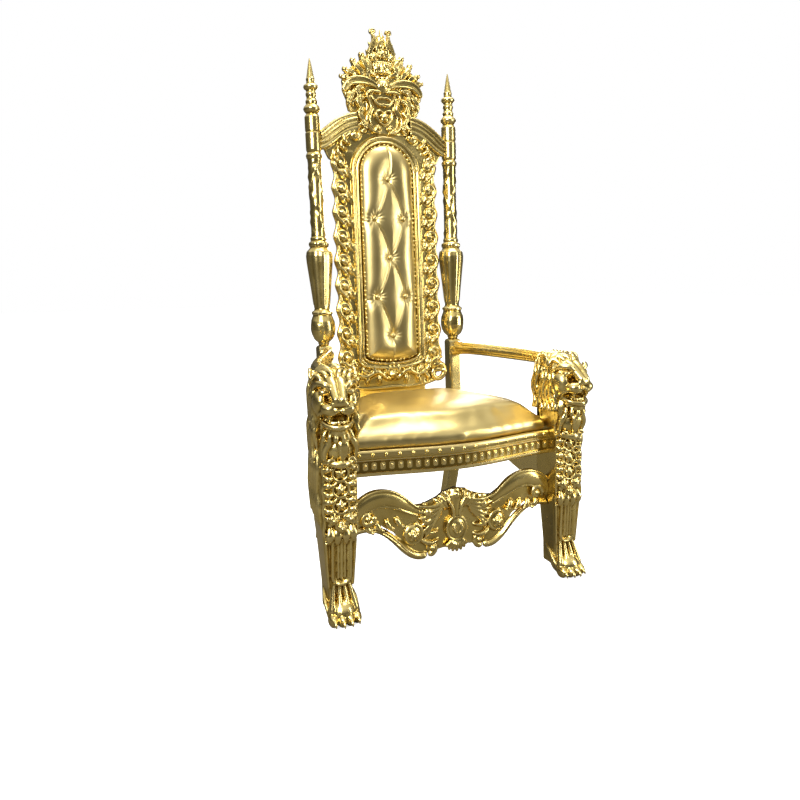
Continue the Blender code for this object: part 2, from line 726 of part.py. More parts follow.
def add_stretcher_half(bm, side):
    """Scrolls and leaves from the leg to the medallion, in the XZ plane."""
    reach = LEG_X - LEG_FLAT

    def at(x, z, y=0.0):
        return Vector((side * x, y, STRETCHER_MIDDLE + z))

    crown = curve(at(reach, 0.06), at(reach - 0.04, 0.135), at(reach - 0.12, 0.12), at(0.135, 0.05))
    add_stroke(bm, crown, [0.022, 0.026, 0.018], 0.55)
    outer = volute((side * (reach - 0.03), STRETCHER_MIDDLE + 0.058), 0.024, 0.25, side * 0.8)
    add_stroke(bm, outer, [0.014, 0.012], 0.7)
    foot = curve(at(0.2, 0.075), at(0.17, 0.0), at(0.14, -0.075), at(0.06, -0.06))
    add_stroke(bm, foot, [0.012, 0.018, 0.012], 0.7)
    inner = volute((side * 0.075, STRETCHER_MIDDLE - 0.045), 0.02, -0.25, -side * 0.9)
    add_stroke(bm, inner, [0.011, 0.008], 0.8)
    add_leaf(bm, curve(at(0.215, 0.06), at(0.17, 0.02), at(0.09, 0.06), at(0.045, 0.085)), 0.03, 4, 0.6)
    add_leaf(bm, curve(at(0.16, 0.04), at(0.15, -0.04), at(0.1, -0.03)), 0.026, 3, 0.6)
    add_ball(bm, at(0.115, -0.005, -0.004), (0.022, 0.012, 0.022), segments=10, rings=6)
    for k in range(3):
        x = 0.016 + k * 0.02
        add_stroke(bm, [at(x * 0.6, 0.06), at(x, 0.112 - k * 0.007)], [0.011, 0.009], 0.7)


def stretcher(group, tools):
    """A pierced apron board between the front legs, with a medallion under a shell."""
    reach = LEG_X - LEG_FLAT + 0.01
    bm = bmesh.new()
    for side in (-1, 1):
        add_stretcher_half(bm, side)
    centre = Vector((0, -0.003, STRETCHER_MIDDLE))
    add_ball(bm, centre, (0.033, 0.015, 0.036), segments=14, rings=8)
    add_stroke(bm, [centre + Vector((0, 0, 0.03)), centre + Vector((0, 0, 0.09))], [0.016, 0.024], 0.6)
    for k in range(5):
        angle = math.pi * (1.25 + 0.125 * k)
        tip = Vector((0.03 * math.cos(angle), 0, 0.03 * math.sin(angle) - 0.035))
        add_stroke(bm, [centre + Vector((0, 0, -0.028)), centre + tip], [0.007, 0.008], 0.9)
    edge = [(0, 0.112), (0.06, 0.1), (0.1, 0.07), (0.16, 0.095), (0.23, 0.115), (reach, 0.1)]
    edge += [(reach, 0.03), (0.24, 0.045), (0.19, 0.01), (0.14, -0.05), (0.07, -0.055), (0, -0.05)]
    for side in (-1, 1):
        add_slab(bm, [(side * x, STRETCHER_MIDDLE + z) for x, z in edge], 0, STRETCHER_THICKNESS / 2)
    board = fused("front_stretcher", bm, GOLD, group, FINE_VOXEL, STRETCHER_TRIANGLES)
    half = STRETCHER_THICKNESS / 2
    span = 0.5
    cut_block(board, "stretcher_back", (-span, half, 0), (span, span, 1), tools)
    for side in (-1, 1):
        inner, outer = sorted((side * (LEG_X - LEG_FLAT - CLEARANCE), side * span))
        cut_block(board, "stretcher_end", (inner, -span, 0), (outer, span, 1), tools)
    return applied(board)


# Back frame, in its own upright plane before it is raked

def arch(half_width, top, bottom, sag=0.0, steps=14):
    """A closed outline: straight sides under a round head, and a foot that sags in the middle."""
    spring = top - half_width
    found = []
    for k in range(steps + 1):
        angle = math.pi * k / steps
        found.append((half_width * math.cos(angle), spring + half_width * math.sin(angle)))
    foot = 6
    for k in range(foot + 1):
        drop = sag * math.sin(math.pi * k / foot)
        found.append((-half_width + 2 * half_width * k / foot, bottom - drop))
    return found


def add_ring(bm, outline, width, rise):
    """A closed moulding along an outline, standing proud of the front."""
    points = [Vector((x, 0, z)) for x, z in outline]
    count = len(points)
    section = ((-1, 0.01), (-1, -rise * 0.5), (-0.5, -rise), (0.5, -rise), (1, -rise * 0.5), (1, 0.01))
    rings = []
    for i, point in enumerate(points):
        ahead = (points[(i + 1) % count] - points[i - 1]).normalized()
        across = Vector((-ahead.z, 0, ahead.x))
        rings.append([point + across * width * u + Vector((0, v, 0)) for u, v in section])
    skin(bm, rings, loop=True)


def back_frame(group, tools):
    """The arched board with its mouldings, scroll borders, spandrels, S-curved top rail and apron."""
    half = OPENING_WIDTH / 2
    outer = FRAME_WIDTH / 2
    body = half + MOULDING_WIDTH
    depth = FRAME_THICKNESS / 2
    bm = bmesh.new()
    add_slab(bm, arch(body, ARCH_TOP + MOULDING_WIDTH, SEAT_TOP - 0.01), -depth * 0.5, depth)
    bead = 0.006
    inner = arch(half + bead, ARCH_TOP + bead, OPENING_BOTTOM - bead, OPENING_SAG)
    rim = arch(body - 0.005, ARCH_TOP + MOULDING_WIDTH - 0.005, OPENING_BOTTOM - 0.02, OPENING_SAG)
    add_ring(bm, inner, bead, depth + 0.004)
    add_ring(bm, rim, bead, depth + 0.002)
    for side in (-1, 1):
        add_border(bm, side, body, outer)
        add_top_rail(bm, side)
        add_apron_half(bm, side, outer)
    add_rosette(bm, (0, -depth * 0.6, APRON_BOTTOM + 0.05), 0.024)
    frame = fused("back_frame", bm, GOLD, group, VOXEL, FRAME_TRIANGLES)
    span = 0.5
    inside = bmesh.new()
    add_slab(inside, arch(half, ARCH_TOP, OPENING_BOTTOM, OPENING_SAG), -span, span)
    boolean(frame, cutter("back_frame_opening", inside, tools), "DIFFERENCE")
    rebate = bmesh.new()
    add_slab(
        rebate, arch(half + REBATE, ARCH_TOP + REBATE, OPENING_BOTTOM - REBATE, OPENING_SAG),
        depth - PANEL_THICKNESS - CLEARANCE, span,
    )
    boolean(frame, cutter("back_frame_rebate", rebate, tools), "DIFFERENCE")
    cut_block(frame, "back_frame_back", (-span, depth, 0), (span, span, 2), tools)
    foot = SEAT_TOP + CLEARANCE + depth * math.sin(BACK_RAKE)
    cut_block(frame, "back_frame_foot", (-span, -span, -span), (span, span, foot), tools)
    seat = CREST_SEAT_WIDTH / 2 + CLEARANCE
    cut_block(frame, "back_frame_seat", (-seat, -span, CREST_FOOT), (seat, span, 2), tools)
    for side in (-1, 1):
        end = abs(upright_axis(side, RAIL_END).x) - POST_RADIUS - CLEARANCE
        inner, far = sorted((side * end, side * span))
        cut_block(frame, "back_frame_end", (inner, -span, 0), (far, span, 2), tools)
    return applied(frame)


def add_border(bm, side, body, outer):
    """The scrolled and leafy border beside the opening, with a scalloped outer edge."""
    count = 9
    low, high = APRON_BOTTOM + 0.13, RAIL_END - 0.06
    spine = [Vector((side * (body + 0.02), 0.004, low - 0.03 + (high - low) * k / 12)) for k in range(14)]
    add_stroke(bm, spine, [0.02, 0.02], 0.4)
    for k in range(count):
        z = low + (high - low) * k / (count - 1)
        reach = outer - 0.026
        points = volute((side * reach, z), 0.024, 0.25 if k % 2 else 0.75, side * (-1) ** k * 0.8)
        add_stroke(bm, points, [0.0085, 0.007], 1.3)
        leaf = curve(
            Vector((side * (body - 0.002), 0, z - 0.036)), Vector((side * (body + 0.022), 0, z - 0.01)),
            Vector((side * (outer - 0.012), 0, z + 0.036)), steps=5,
        )
        add_stroke(bm, leaf, [0.008, 0.011, 0.007], 1.2)
        add_ball(bm, Vector((side * reach, -0.004, z)), (0.008, 0.01, 0.008), segments=8, rings=6)


def add_top_rail(bm, side):
    """Half of the S-curved moulded rail between an upright and the crest, with the leaf under it."""
    post = upright_axis(side, RAIL_END).x
    rail = curve(
        Vector((post, 0, RAIL_END)),
        Vector((side * 0.2, 0, RAIL_END - 0.01)),
        Vector((side * 0.17, 0, RAIL_END + 0.075)),
        Vector((side * 0.09, 0, RAIL_END + 0.07)),
        steps=12,
    )
    add_stroke(bm, rail, [0.027, 0.029, 0.029, 0.03], 0.5, 8)
    upper = [p + Vector((0, -0.008, 0.018)) for p in rail]
    lower = [p + Vector((0, -0.006, -0.016)) for p in rail]
    add_stroke(bm, upper, [0.01, 0.01], 1.0)
    add_stroke(bm, lower, [0.007, 0.007], 1.0)
    plate = [(side * 0.205, RAIL_END - 0.05), (side * 0.16, RAIL_END - 0.06), (side * 0.06, RAIL_END + 0.02)]
    plate += [(side * 0.06, RAIL_END + 0.07), (rail[9].x, rail[9].z), (rail[4].x, rail[4].z)]
    add_slab(bm, plate, 0.0, FRAME_THICKNESS / 2)
    low = Vector((side * 0.205, 0, RAIL_END - 0.06))
    bend = Vector((side * 0.155, 0, RAIL_END + 0.02))
    spandrel = curve(low, bend, Vector((side * 0.085, 0, RAIL_END + 0.04)))
    add_leaf(bm, spandrel, 0.032, 4, 0.6)
    add_stroke(bm, volute((side * 0.106, RAIL_END + 0.036), 0.018, 0.25, side * 0.8), [0.009, 0.007], 1.1)


def add_apron_half(bm, side, outer):
    """Leaves and an ear scroll below the opening."""
    base = APRON_BOTTOM
    ear = volute((side * (outer - 0.02), base + 0.055), 0.034, 0.5 if side > 0 else 0.0, side * -0.9)
    add_stroke(bm, ear, [0.014, 0.011], 0.9)

    def at(x, z):
        return Vector((side * x, 0, base + z))

    add_leaf(bm, curve(at(0.02, 0.05), at(0.1, 0.075), at(0.18, 0.03)), 0.036, 4, 0.5)
    add_leaf(bm, curve(at(0.05, 0.08), at(0.12, 0.07), at(outer - 0.02, 0.12)), 0.03, 3, 0.5)
    edge = curve(at(0, 0.01), at(0.1, 0), at(outer - 0.03, 0.025))
    add_stroke(bm, edge, [0.014, 0.013], 0.7)


# Crest

def crest_point(x, z, y=0.0):
    """A place on the crest in centimetres of its design, 30 wide and 35.4 high."""
    top = SEAT_TOP + (OVERALL_HEIGHT - SEAT_TOP) / math.cos(BACK_RAKE)
    return Vector((x * CREST_WIDTH / 30, y, CREST_FOOT + z * (top - CREST_FOOT) / 35.4))


def add_crest_tower(bm, side):
    """Half of the bowl of flowers and the twin-curled plume over it."""
    def at(x, z, y=0.0):
        return crest_point(side * x, z, y)

    leaf = curve(at(4.4, 24), at(6.6, 28.5), at(3.6, 31), at(2.2, 33.8))
    add_stroke(bm, leaf, [0.009, 0.013, 0.008], 0.9)
    tip = at(3.2, 34.0)
    curl = volute((tip.x, tip.z), 0.0105, 0.5 if side > 0 else 0.0, -side * 0.8)
    add_stroke(bm, curl, [0.0055, 0.005], 1.2)
    add_stroke(bm, [at(1.7, 25), at(2.5, 29), at(1.6, 32.6)], [0.009, 0.01, 0.004], 1)
    add_stroke(bm, [at(2.6, 19.6), at(4.4, 21.6), at(6.0, 24.6)], [0.009, 0.012, 0.007], 0.9)
    add_rosette(bm, at(3.1, 25.8, -0.004), 0.016)
    for x, z, root in ((7.8, 26.6, 5.6), (10.4, 24.6, 6.6), (13.2, 21.6, 8.4), (14.6, 19.4, 10.2)):
        plume = curve(at(root, 18.2), at((root + x) / 2 - 0.9, z - 2.4), at(x, z), steps=6)
        add_stroke(bm, plume, [0.011, 0.013, 0.008], 0.8)
        add_ball(bm, at(x + 0.3, z - 0.2, -0.004), (0.009, 0.01, 0.009), segments=8, rings=6)


def add_crest_wing(bm, side):
    """Half of the broad C-scrolls and the leaves that fall from them to the top rail."""
    def at(x, z, y=0.0):
        return crest_point(side * x, z, y)

    scroll = curve(at(2, 16.4), at(7, 21.4), at(15.8, 21.6), at(15.2, 13.4), at(13.6, 12.6), steps=14)
    add_stroke(bm, scroll, [0.012, 0.016, 0.014, 0.01], 1.0)
    curl = at(12.5, 13.9)
    winding = volute((curl.x, curl.z), 0.014, 0.5 if side < 0 else 0.0, -side * 0.8)
    add_stroke(bm, winding, [0.008, 0.007], 1.2)
    for start, middle, end, width in (
        ((7, 17), (11.5, 15), (12.6, 9), 0.015), ((8, 14), (14.5, 10.5), (12.6, 6.6), 0.013),
        ((6.4, 13), (10.4, 9), (8.4, 2), 0.015), ((7.6, 9.4), (11.4, 6.6), (10.6, 4.8), 0.012),
    ):
        leaf = curve(at(*start), at(*middle), at(*end), steps=6)
        add_stroke(bm, leaf, [width, width * 1.15, width * 0.5], 0.7)


def add_cartouche(bm, side):
    """Half of the shield with its rolled edge, foot scrolls and leaf band."""
    def at(x, z, y=0.0):
        return crest_point(side * x, z, y)

    edge = curve(
        at(1, 14.6), at(9.6, 14.4), at(1.4, 8.6), at(9.6, 5.6), at(5.6, -2.2), at(0.4, 1.6), steps=16
    )
    add_stroke(bm, edge, [0.01, 0.0095, 0.01], 1.3)
    foot = at(2.1, 2.3, -0.004)
    scroll = volute((foot.x, foot.z), 0.014, 0.75, side * 0.85, y=-0.006)
    add_stroke(bm, scroll, [0.0065, 0.005], 1.1)
    band = curve(at(4.6, 12.0, -0.008), at(2.4, 9.6, -0.01), at(0, 10.6, -0.01))
    add_stroke(bm, band, [0.006, 0.01, 0.007], 0.9)


def crest(group, tools):
    """The carved crest: a shield, broad scrolls, a bowl of flowers and a plume with two curled tips."""
    bm = bmesh.new()
    shield = [
        (0.4, 0.4), (5, 0.4), (7, 4), (5.8, 9), (6.4, 14),
        (5, 17), (4.6, 21), (5.6, 24), (4.6, 27), (2.6, 32),
    ]
    outline = [crest_point(x, z) for x, z in shield] + [crest_point(-x, z) for x, z in reversed(shield)]
    add_slab(bm, [(p.x, p.z) for p in outline], -0.004, CREST_THICKNESS / 2)
    wings = [(4, 16), (9, 19.6), (13.4, 18), (13, 12), (11.8, 6), (9.4, 0.4), (4, 0.4)]
    for side in (-1, 1):
        panel = [crest_point(side * x, z) for x, z in wings]
        add_slab(bm, [(p.x, p.z) for p in panel], 0.0, CREST_THICKNESS / 2)
        add_crest_tower(bm, side)
        add_crest_wing(bm, side)
        add_cartouche(bm, side)
    bud = [crest_point(0, 24), crest_point(0, 31), crest_point(0, 35.1)]
    add_stroke(bm, bud, [0.013, 0.011, 0.003], 0.9)
    add_ball(bm, crest_point(0, 22.2, -0.004), (0.04, 0.02, 0.022))
    rim = [crest_point(-5.4, 24.3, -0.006), crest_point(0, 23.6, -0.012), crest_point(5.4, 24.3, -0.006)]
    add_stroke(bm, rim, [0.007, 0.008, 0.007])
    add_rosette(bm, crest_point(0, 26.8, -0.006), 0.018)
    add_rosette(bm, crest_point(0, 19.0, -0.008), 0.015)
    add_ball(bm, crest_point(0, 16, -0.008), (0.026, 0.015, 0.021))
    add_rosette(bm, crest_point(0, 5.6, -0.01), 0.02)
    made = fused("crest", bm, GOLD, group, FINE_VOXEL, CREST_TRIANGLES)
    span = 0.5
    cut_block(made, "crest_back", (-span, CREST_THICKNESS / 2, 1), (span, span, 2), tools)
    cut_block(made, "crest_foot", (-span, -span, 0), (span, span, CREST_FOOT + CLEARANCE), tools)
    for side in (-1, 1):
        inner, outer = sorted((side * CREST_SEAT_WIDTH / 2, side * span))
        cut_block(made, "crest_shoulder", (inner, -span, 0), (outer, span, CREST_SHOULDER), tools)
    return applied(made)


# Upholstery of the back

def back_panel(group):
    """The thin board in the rebate behind the pad."""
    gap = REBATE - CLEARANCE
    back = FRAME_THICKNESS / 2
    bm = bmesh.new()
    outline = arch(OPENING_WIDTH / 2 + gap, ARCH_TOP + gap, OPENING_BOTTOM - gap, OPENING_SAG)
    add_slab(bm, outline, back - PANEL_THICKNESS, back)
    return make_object("back_panel", bm, BACKING, group)


def button_places():
    """The buttons in a diamond pattern: one, two, one, two, one."""
    for row in range(5):
        for x in ((-BUTTON_SPREAD / 2, BUTTON_SPREAD / 2) if row % 2 else (0.0,)):
            yield x, BUTTON_TOP - BUTTON_PITCH * row


def back_pad(group, tools):
    """The padded back, plain but for the hollows that the buttons sit in."""
    rear = FRAME_THICKNESS / 2 - PANEL_THICKNESS - CLEARANCE
    front = -PAD_EDGE - PAD_BULGE
    bm = bmesh.new()
    half = OPENING_WIDTH / 2
    layers = []
    for inset, y in ((0, rear), (0, -PAD_EDGE), (0.1, -PAD_EDGE - PAD_BULGE * 0.7), (0.25, front)):
        shrink = SOFT_CLEARANCE + half * inset
        outline = arch(half - shrink, ARCH_TOP - shrink, OPENING_BOTTOM + shrink, OPENING_SAG)
        layers.append([Vector((x, y, z)) for x, z in outline])
    skin(bm, layers)
    pad = make_object("back_pad", bm, LEATHER, group)
    hollows = bmesh.new()
    for x, z in button_places():
        radii = (BUTTON_DIAMETER, HOLLOW_DEPTH, BUTTON_DIAMETER)
        add_ball(hollows, (x, front, z), radii, segments=8, rings=4)
    boolean(pad, cutter("back_pad_hollows", hollows, tools), "DIFFERENCE")
    return applied(pad)


def buttons(group):
    made = []
    deep = BUTTON_DIAMETER * 0.3
    radii = (BUTTON_DIAMETER / 2, deep, BUTTON_DIAMETER / 2)
    y = -PAD_EDGE - PAD_BULGE + HOLLOW_DEPTH - deep - SOFT_CLEARANCE
    for i, (x, z) in enumerate(button_places()):
        bm = bmesh.new()
        add_ball(bm, (0, 0, 0), radii, segments=8, rings=4)
        button = make_object(f"button_{i + 1}", bm, LEATHER, group)
        button.location = (x, y, z)
        made.append(button)
    return made


def centre_on_floor(group, parent):
    """Moves the whole throne so that the origin lies on the floor under its middle."""
    bpy.context.view_layer.update()
    corners = [obj.matrix_world @ vert.co for obj in group.objects for vert in obj.data.vertices]
    middle_y = (min(p.y for p in corners) + max(p.y for p in corners)) / 2
    for obj in group.objects:
        obj.parent = parent
    parent.location = (0, -middle_y, 0)


def main():
    clear_scene()
    throne = collection("throne")
    tools = collection("cutters")
    tools.hide_render = True
    root = bpy.data.objects.new("throne_root", None)
    bpy.context.scene.collection.objects.link(root)
    front_legs(throne, tools)
    for name, side in (("left", -1), ("right", 1)):
        rear_upright("rear_upright_" + name, side, throne)
        arm("arm_" + name, side, throne, tools)
        side_rail("seat_side_rail_" + name, side, throne)
    front_rail(throne, tools)
    rear_rail(throne)
    seat_cushion(throne)
    stretcher(throne, tools)
    raked = [back_frame(throne, tools), crest(throne, tools), back_panel(throne), back_pad(throne, tools)]
    for obj in raked + buttons(throne):
        obj.matrix_world = BACK_PLANE @ obj.matrix_basis
    centre_on_floor(throne, root)


main()
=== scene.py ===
"""The gilded lion throne, dressed: fine carving in gold paint, a buttoned back and a crowned seat.

Metres, +Z up, the sitter faces -Y. Carved pieces are strokes and balls fused into one skin, then cut flat.
"""

import math

import bmesh
import bpy
from mathutils import Matrix, Vector


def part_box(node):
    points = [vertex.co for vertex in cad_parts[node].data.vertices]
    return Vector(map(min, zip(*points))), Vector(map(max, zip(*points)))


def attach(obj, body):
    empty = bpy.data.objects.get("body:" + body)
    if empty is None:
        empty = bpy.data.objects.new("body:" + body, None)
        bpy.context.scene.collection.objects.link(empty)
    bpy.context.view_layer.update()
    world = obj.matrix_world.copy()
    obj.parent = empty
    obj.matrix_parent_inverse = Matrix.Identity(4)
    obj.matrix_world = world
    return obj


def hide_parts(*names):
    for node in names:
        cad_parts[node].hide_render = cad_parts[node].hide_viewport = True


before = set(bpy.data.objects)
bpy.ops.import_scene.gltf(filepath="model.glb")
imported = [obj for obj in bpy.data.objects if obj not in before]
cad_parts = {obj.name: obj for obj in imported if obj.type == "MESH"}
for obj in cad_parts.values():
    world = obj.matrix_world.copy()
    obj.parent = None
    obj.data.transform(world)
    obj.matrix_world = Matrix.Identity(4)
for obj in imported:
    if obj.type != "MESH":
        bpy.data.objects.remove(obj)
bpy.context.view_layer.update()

# Places and sizes of the CAD model, read from its nodes
LEG_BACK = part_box("front_leg_right")[1].y
POST_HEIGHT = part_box("rear_upright_right")[1].z
REAR_RAIL_LOW, REAR_RAIL_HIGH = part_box("seat_rear_rail")
CUSHION_LOW, CUSHION_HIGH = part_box("seat_cushion")

# Named sizes that the carving is drawn to
LEG_CM = 0.01
LEG_FLAT = 4.7 * LEG_CM
LEG_X = 0.36
FRONT = LEG_BACK - LEG_FLAT
SEAT_TOP = REAR_RAIL_HIGH.z
RAIL_BOTTOM = REAR_RAIL_LOW.z
SEAT_DEPTH = (REAR_RAIL_LOW.y + REAR_RAIL_HIGH.y) / 2 - FRONT
BACK_RAKE = math.radians(2.6)
POST_SPACING_SEAT = 0.475
POST_SPACING_TOP = 0.503
REAR_LEG_SPLAY = 0.11
REAR_LEG_SIZE = 0.046
STILE_TOP = 0.688
ARM_DIAMETER = 0.042
ARM_CENTRE_BACK = 0.658
ARM_CENTRE_FRONT = 0.648
OPENING_WIDTH = 0.197
OPENING_BOTTOM = 0.648
OPENING_SAG = 0.026
ARCH_TOP = 1.364
FRAME_THICKNESS = 0.026
FRAME_WIDTH = 0.39
MOULDING_WIDTH = 0.026
APRON_BOTTOM = 0.53
RAIL_END = 1.358
PAD_BULGE = 0.022
PAD_EDGE = 0.012
BUTTON_DIAMETER = 0.018
BUTTON_TOP = 1.242
BUTTON_PITCH = 0.132
BUTTON_SPREAD = 0.104
HOLLOW_DEPTH = 0.014
CREST_WIDTH = 0.3
CREST_FOOT = 1.396
CREST_SEAT_WIDTH = 0.19
CREST_SHOULDER = 1.462
CREST_THICKNESS = 0.026
STRETCHER_MIDDLE = 0.187
STRETCHER_THICKNESS = 0.022
FRONT_BOW = 0.045
RAIL_THICKNESS = 0.03
DENTIL_COUNT = 26
CLEARANCE = 0.0004
OVERALL_HEIGHT = 1.75
RAIL_REACH = LEG_X - LEG_FLAT - CLEARANCE
SHIN_TOP = 0.19
CUSHION_FLANK = 0.067
VASE_FOOT = 0.812
VASE_TOP = 1.01
BULB_FOOT = 0.7
BULB_TOP = 0.786
STEM_FOOT = 1.052
STEM_TOP = 1.298
FRAME_TRIANGLES = 175000
LEG_TRIANGLES = 112000
STRETCHER_TRIANGLES = 105000
CREST_TRIANGLES = 125000
PAD_TRIANGLES = 90000

BACK_PLANE = (
    Matrix.Translation((0, FRONT + SEAT_DEPTH, SEAT_TOP))
    @ Matrix.Rotation(-BACK_RAKE, 4, "X")
    @ Matrix.Translation((0, 0, -SEAT_TOP))
)


# Materials

def node_material(name):
    made = bpy.data.materials.new(name)
    made.use_nodes = True
    nodes = made.node_tree.nodes
    return made, nodes, made.node_tree.links, nodes["Principled BSDF"]


def ramp(nodes, stops):
    made = nodes.new("ShaderNodeValToRGB")
    elements = made.color_ramp.elements
    while len(elements) < len(stops):
        elements.new(0.5)
    for element, (place, colour) in zip(elements, stops):
        element.position = place
        element.color = (*colour, 1)
    return made


def noise_node(nodes, links, scale, detail=4.0, roughness=0.55):
    place = nodes.new("ShaderNodeTexCoord")
    made = nodes.new("ShaderNodeTexNoise")
    made.inputs["Scale"].default_value = scale
    made.inputs["Detail"].default_value = detail
    made.inputs["Roughness"].default_value = roughness
    links.new(place.outputs["Object"], made.inputs["Vector"])
    return made


def tint_by(nodes, links, shader, value, stops):
    """Colours a shader by a value, through a ramp."""
    tint = ramp(nodes, stops)
    links.new(value, tint.inputs["Fac"])
    links.new(tint.outputs["Color"], shader.inputs["Base Color"])


def gloss_by(nodes, links, shader, value, least, most):
    gloss = nodes.new("ShaderNodeMapRange")
    gloss.inputs["To Min"].default_value = least
    gloss.inputs["To Max"].default_value = most
    links.new(value, gloss.inputs["Value"])
    links.new(gloss.outputs["Result"], shader.inputs["Roughness"])


def bump_by(nodes, links, shader, height, strength, distance):
    bump = nodes.new("ShaderNodeBump")
    bump.inputs["Strength"].default_value = strength
    bump.inputs["Distance"].default_value = distance
    links.new(height, bump.inputs["Height"])
    links.new(bump.outputs["Normal"], shader.inputs["Normal"])


def scaled_sum(nodes, links, first, scale, second):
    """The first value times the scale, plus the second."""
    made = nodes.new("ShaderNodeMath")
    made.operation = "MULTIPLY_ADD"
    made.inputs[1].default_value = scale
    links.new(first, made.inputs[0])
    links.new(second, made.inputs[2])
    return made.outputs[0]


def gold_paint():
    """Glossy gold paint over carved wood, faintly uneven; its colour carries painted shade, brown in the hollows
    and on the flats and bright on the rises, by pointiness.
    """
    made, nodes, links, shader = node_material("carved_gold_paint")
    shader.inputs["Metallic"].default_value = 1.0
    shape = nodes.new("ShaderNodeNewGeometry")
    patches = noise_node(nodes, links, 14, 5).outputs["Fac"]
    fine = noise_node(nodes, links, 260, 3).outputs["Fac"]
    # Painted shade and light: pointiness, with a little random patchiness, darkens the gold to brown in hollows
    # and flats and keeps it bright on the rises, as occlusion would shade it.
    lift = scaled_sum(nodes, links, patches, 0.07, shape.outputs["Pointiness"])
    tint_by(nodes, links, shader, lift, (
        (0.44, (0.09, 0.05, 0.008)), (0.5, (0.36, 0.24, 0.05)), (0.53, (0.66, 0.5, 0.16)),
        (0.58, (0.82, 0.66, 0.28)),
    ))
    gloss_by(nodes, links, shader, patches, 0.17, 0.34)
    bump_by(nodes, links, shader, fine, 0.12, 0.0006)
    return made


def gold_leather():
    """Metallic leatherette with a fine pebble grain and softly uneven gloss."""
    made, nodes, links, shader = node_material("gold_leatherette")
    shader.inputs["Metallic"].default_value = 1.0
    shade = noise_node(nodes, links, 5, 3).outputs["Fac"]
    tint_by(nodes, links, shader, shade, ((0.3, (0.56, 0.43, 0.16)), (0.7, (0.72, 0.57, 0.24))))
    gloss_by(nodes, links, shader, shade, 0.28, 0.38)
    place = nodes.new("ShaderNodeTexCoord")
    pebbles = nodes.new("ShaderNodeTexVoronoi")
    pebbles.inputs["Scale"].default_value = 620
    links.new(place.outputs["Object"], pebbles.inputs["Vector"])
    wrinkles = noise_node(nodes, links, 55, 4).outputs["Fac"]
    grain = scaled_sum(nodes, links, pebbles.outputs["Distance"], 0.5, wrinkles)
    bump_by(nodes, links, shader, grain, 0.1, 0.0007)
    return made


def dark_board():
    """Bare dark board, matt and streaky."""
    made, nodes, links, shader = node_material("dark_board")
    streaks = noise_node(nodes, links, 30, 6).outputs["Fac"]
    tint_by(nodes, links, shader, streaks, ((0.35, (0.018, 0.012, 0.008)), (0.7, (0.06, 0.04, 0.022))))
    shader.inputs["Roughness"].default_value = 0.75
    bump_by(nodes, links, shader, streaks, 0.3, 0.0008)
    return made


def polished_brass():
    """Domed nail heads: bright and faintly uneven."""
    made, nodes, links, shader = node_material("nail_gold")
    shader.inputs["Metallic"].default_value = 1.0
    shader.inputs["Roughness"].default_value = 0.16
    marks = noise_node(nodes, links, 120, 3).outputs["Fac"]
    tint_by(nodes, links, shader, marks, ((0.3, (0.78, 0.58, 0.14)), (0.7, (0.98, 0.82, 0.34))))
    return made


GOLD = gold_paint()
LEATHER = gold_leather()
BOARD = dark_board()
BRASS = polished_brass()


def finish_piece(obj, paint, node_slot, *nodes):
    """Gives a piece its paint and its body, and hides the CAD nodes that it stands for; node_slot is not used.
    """
    obj.data.materials.clear()
    obj.data.materials.append(paint)
    for face in obj.data.polygons:
        face.use_smooth = True
    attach(obj, "root")
    if nodes:
        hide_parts(*nodes)
    return obj


def make_object(name, bm, place=Matrix.Identity(4)):
    mesh = bpy.data.meshes.new(name)
    bmesh.ops.recalc_face_normals(bm, faces=bm.faces)
    bm.to_mesh(mesh)
    bm.free()
    obj = bpy.data.objects.new(name, mesh)
    bpy.context.scene.collection.objects.link(obj)
    mesh.transform(place)
    return obj


def applied(obj):
    """The same object with its modifiers made into its mesh."""
    bpy.context.view_layer.update()
    graph = bpy.context.evaluated_depsgraph_get()
    mesh = bpy.data.meshes.new_from_object(obj.evaluated_get(graph))
    obj.modifiers.clear()
    obj.data = mesh
    return obj


def fuse(obj, voxel):
    """A modifier that wraps everything in one skin."""
    remesh = obj.modifiers.new("fuse", "REMESH")
    remesh.mode = "VOXEL"
    remesh.voxel_size = voxel


def thin_to(obj, triangles):
    """Thins a mesh that has more triangles than that."""
    obj.data.calc_loop_triangles()
    share = triangles / len(obj.data.loop_triangles)
    if share < 1:
        thin = obj.modifiers.new("thin", "DECIMATE")
        thin.ratio = share
        applied(obj)


def fill_from(bm, other):
    """Moves all shapes of another bmesh into this one."""
    mesh = bpy.data.meshes.new("moved")
    other.to_mesh(mesh)
    other.free()
    bm.from_mesh(mesh)
    bpy.data.meshes.remove(mesh)


# Shapes that are fused

BALLS = {}


def unit_ball(segments, rings):
    """The points and faces of a sphere of radius 1 about the Z axis."""
    key = (segments, rings)
    if key not in BALLS:
        points = [Vector((0, 0, 1))]
        for r in range(1, rings):
            tilt = math.pi * r / rings
            for s in range(segments):
                turn = 2 * math.pi * s / segments
                points.append(
                    Vector((math.sin(tilt) * math.cos(turn), math.sin(tilt) * math.sin(turn), math.cos(tilt)))
                )
        points.append(Vector((0, 0, -1)))
        faces = [(0, 1 + s, 1 + (s + 1) % segments) for s in range(segments)]
        for r in range(rings - 2):
            row = 1 + r * segments
            for s in range(segments):
                t = (s + 1) % segments
                faces.append((row + s, row + segments + s, row + segments + t, row + t))
        row, end = 1 + (rings - 2) * segments, len(points) - 1
        faces += [(end, row + (s + 1) % segments, row + s) for s in range(segments)]
        BALLS[key] = (points, faces)
    return BALLS[key]


def add_ball(bm, centre, radii, segments=20, rings=12):
    centre = Vector(centre)
    points, faces = unit_ball(segments, rings)
    verts = [bm.verts.new(centre + Vector((p.x * radii[0], p.y * radii[1], p.z * radii[2]))) for p in points]
    for face in faces:
        bm.faces.new([verts[i] for i in face])


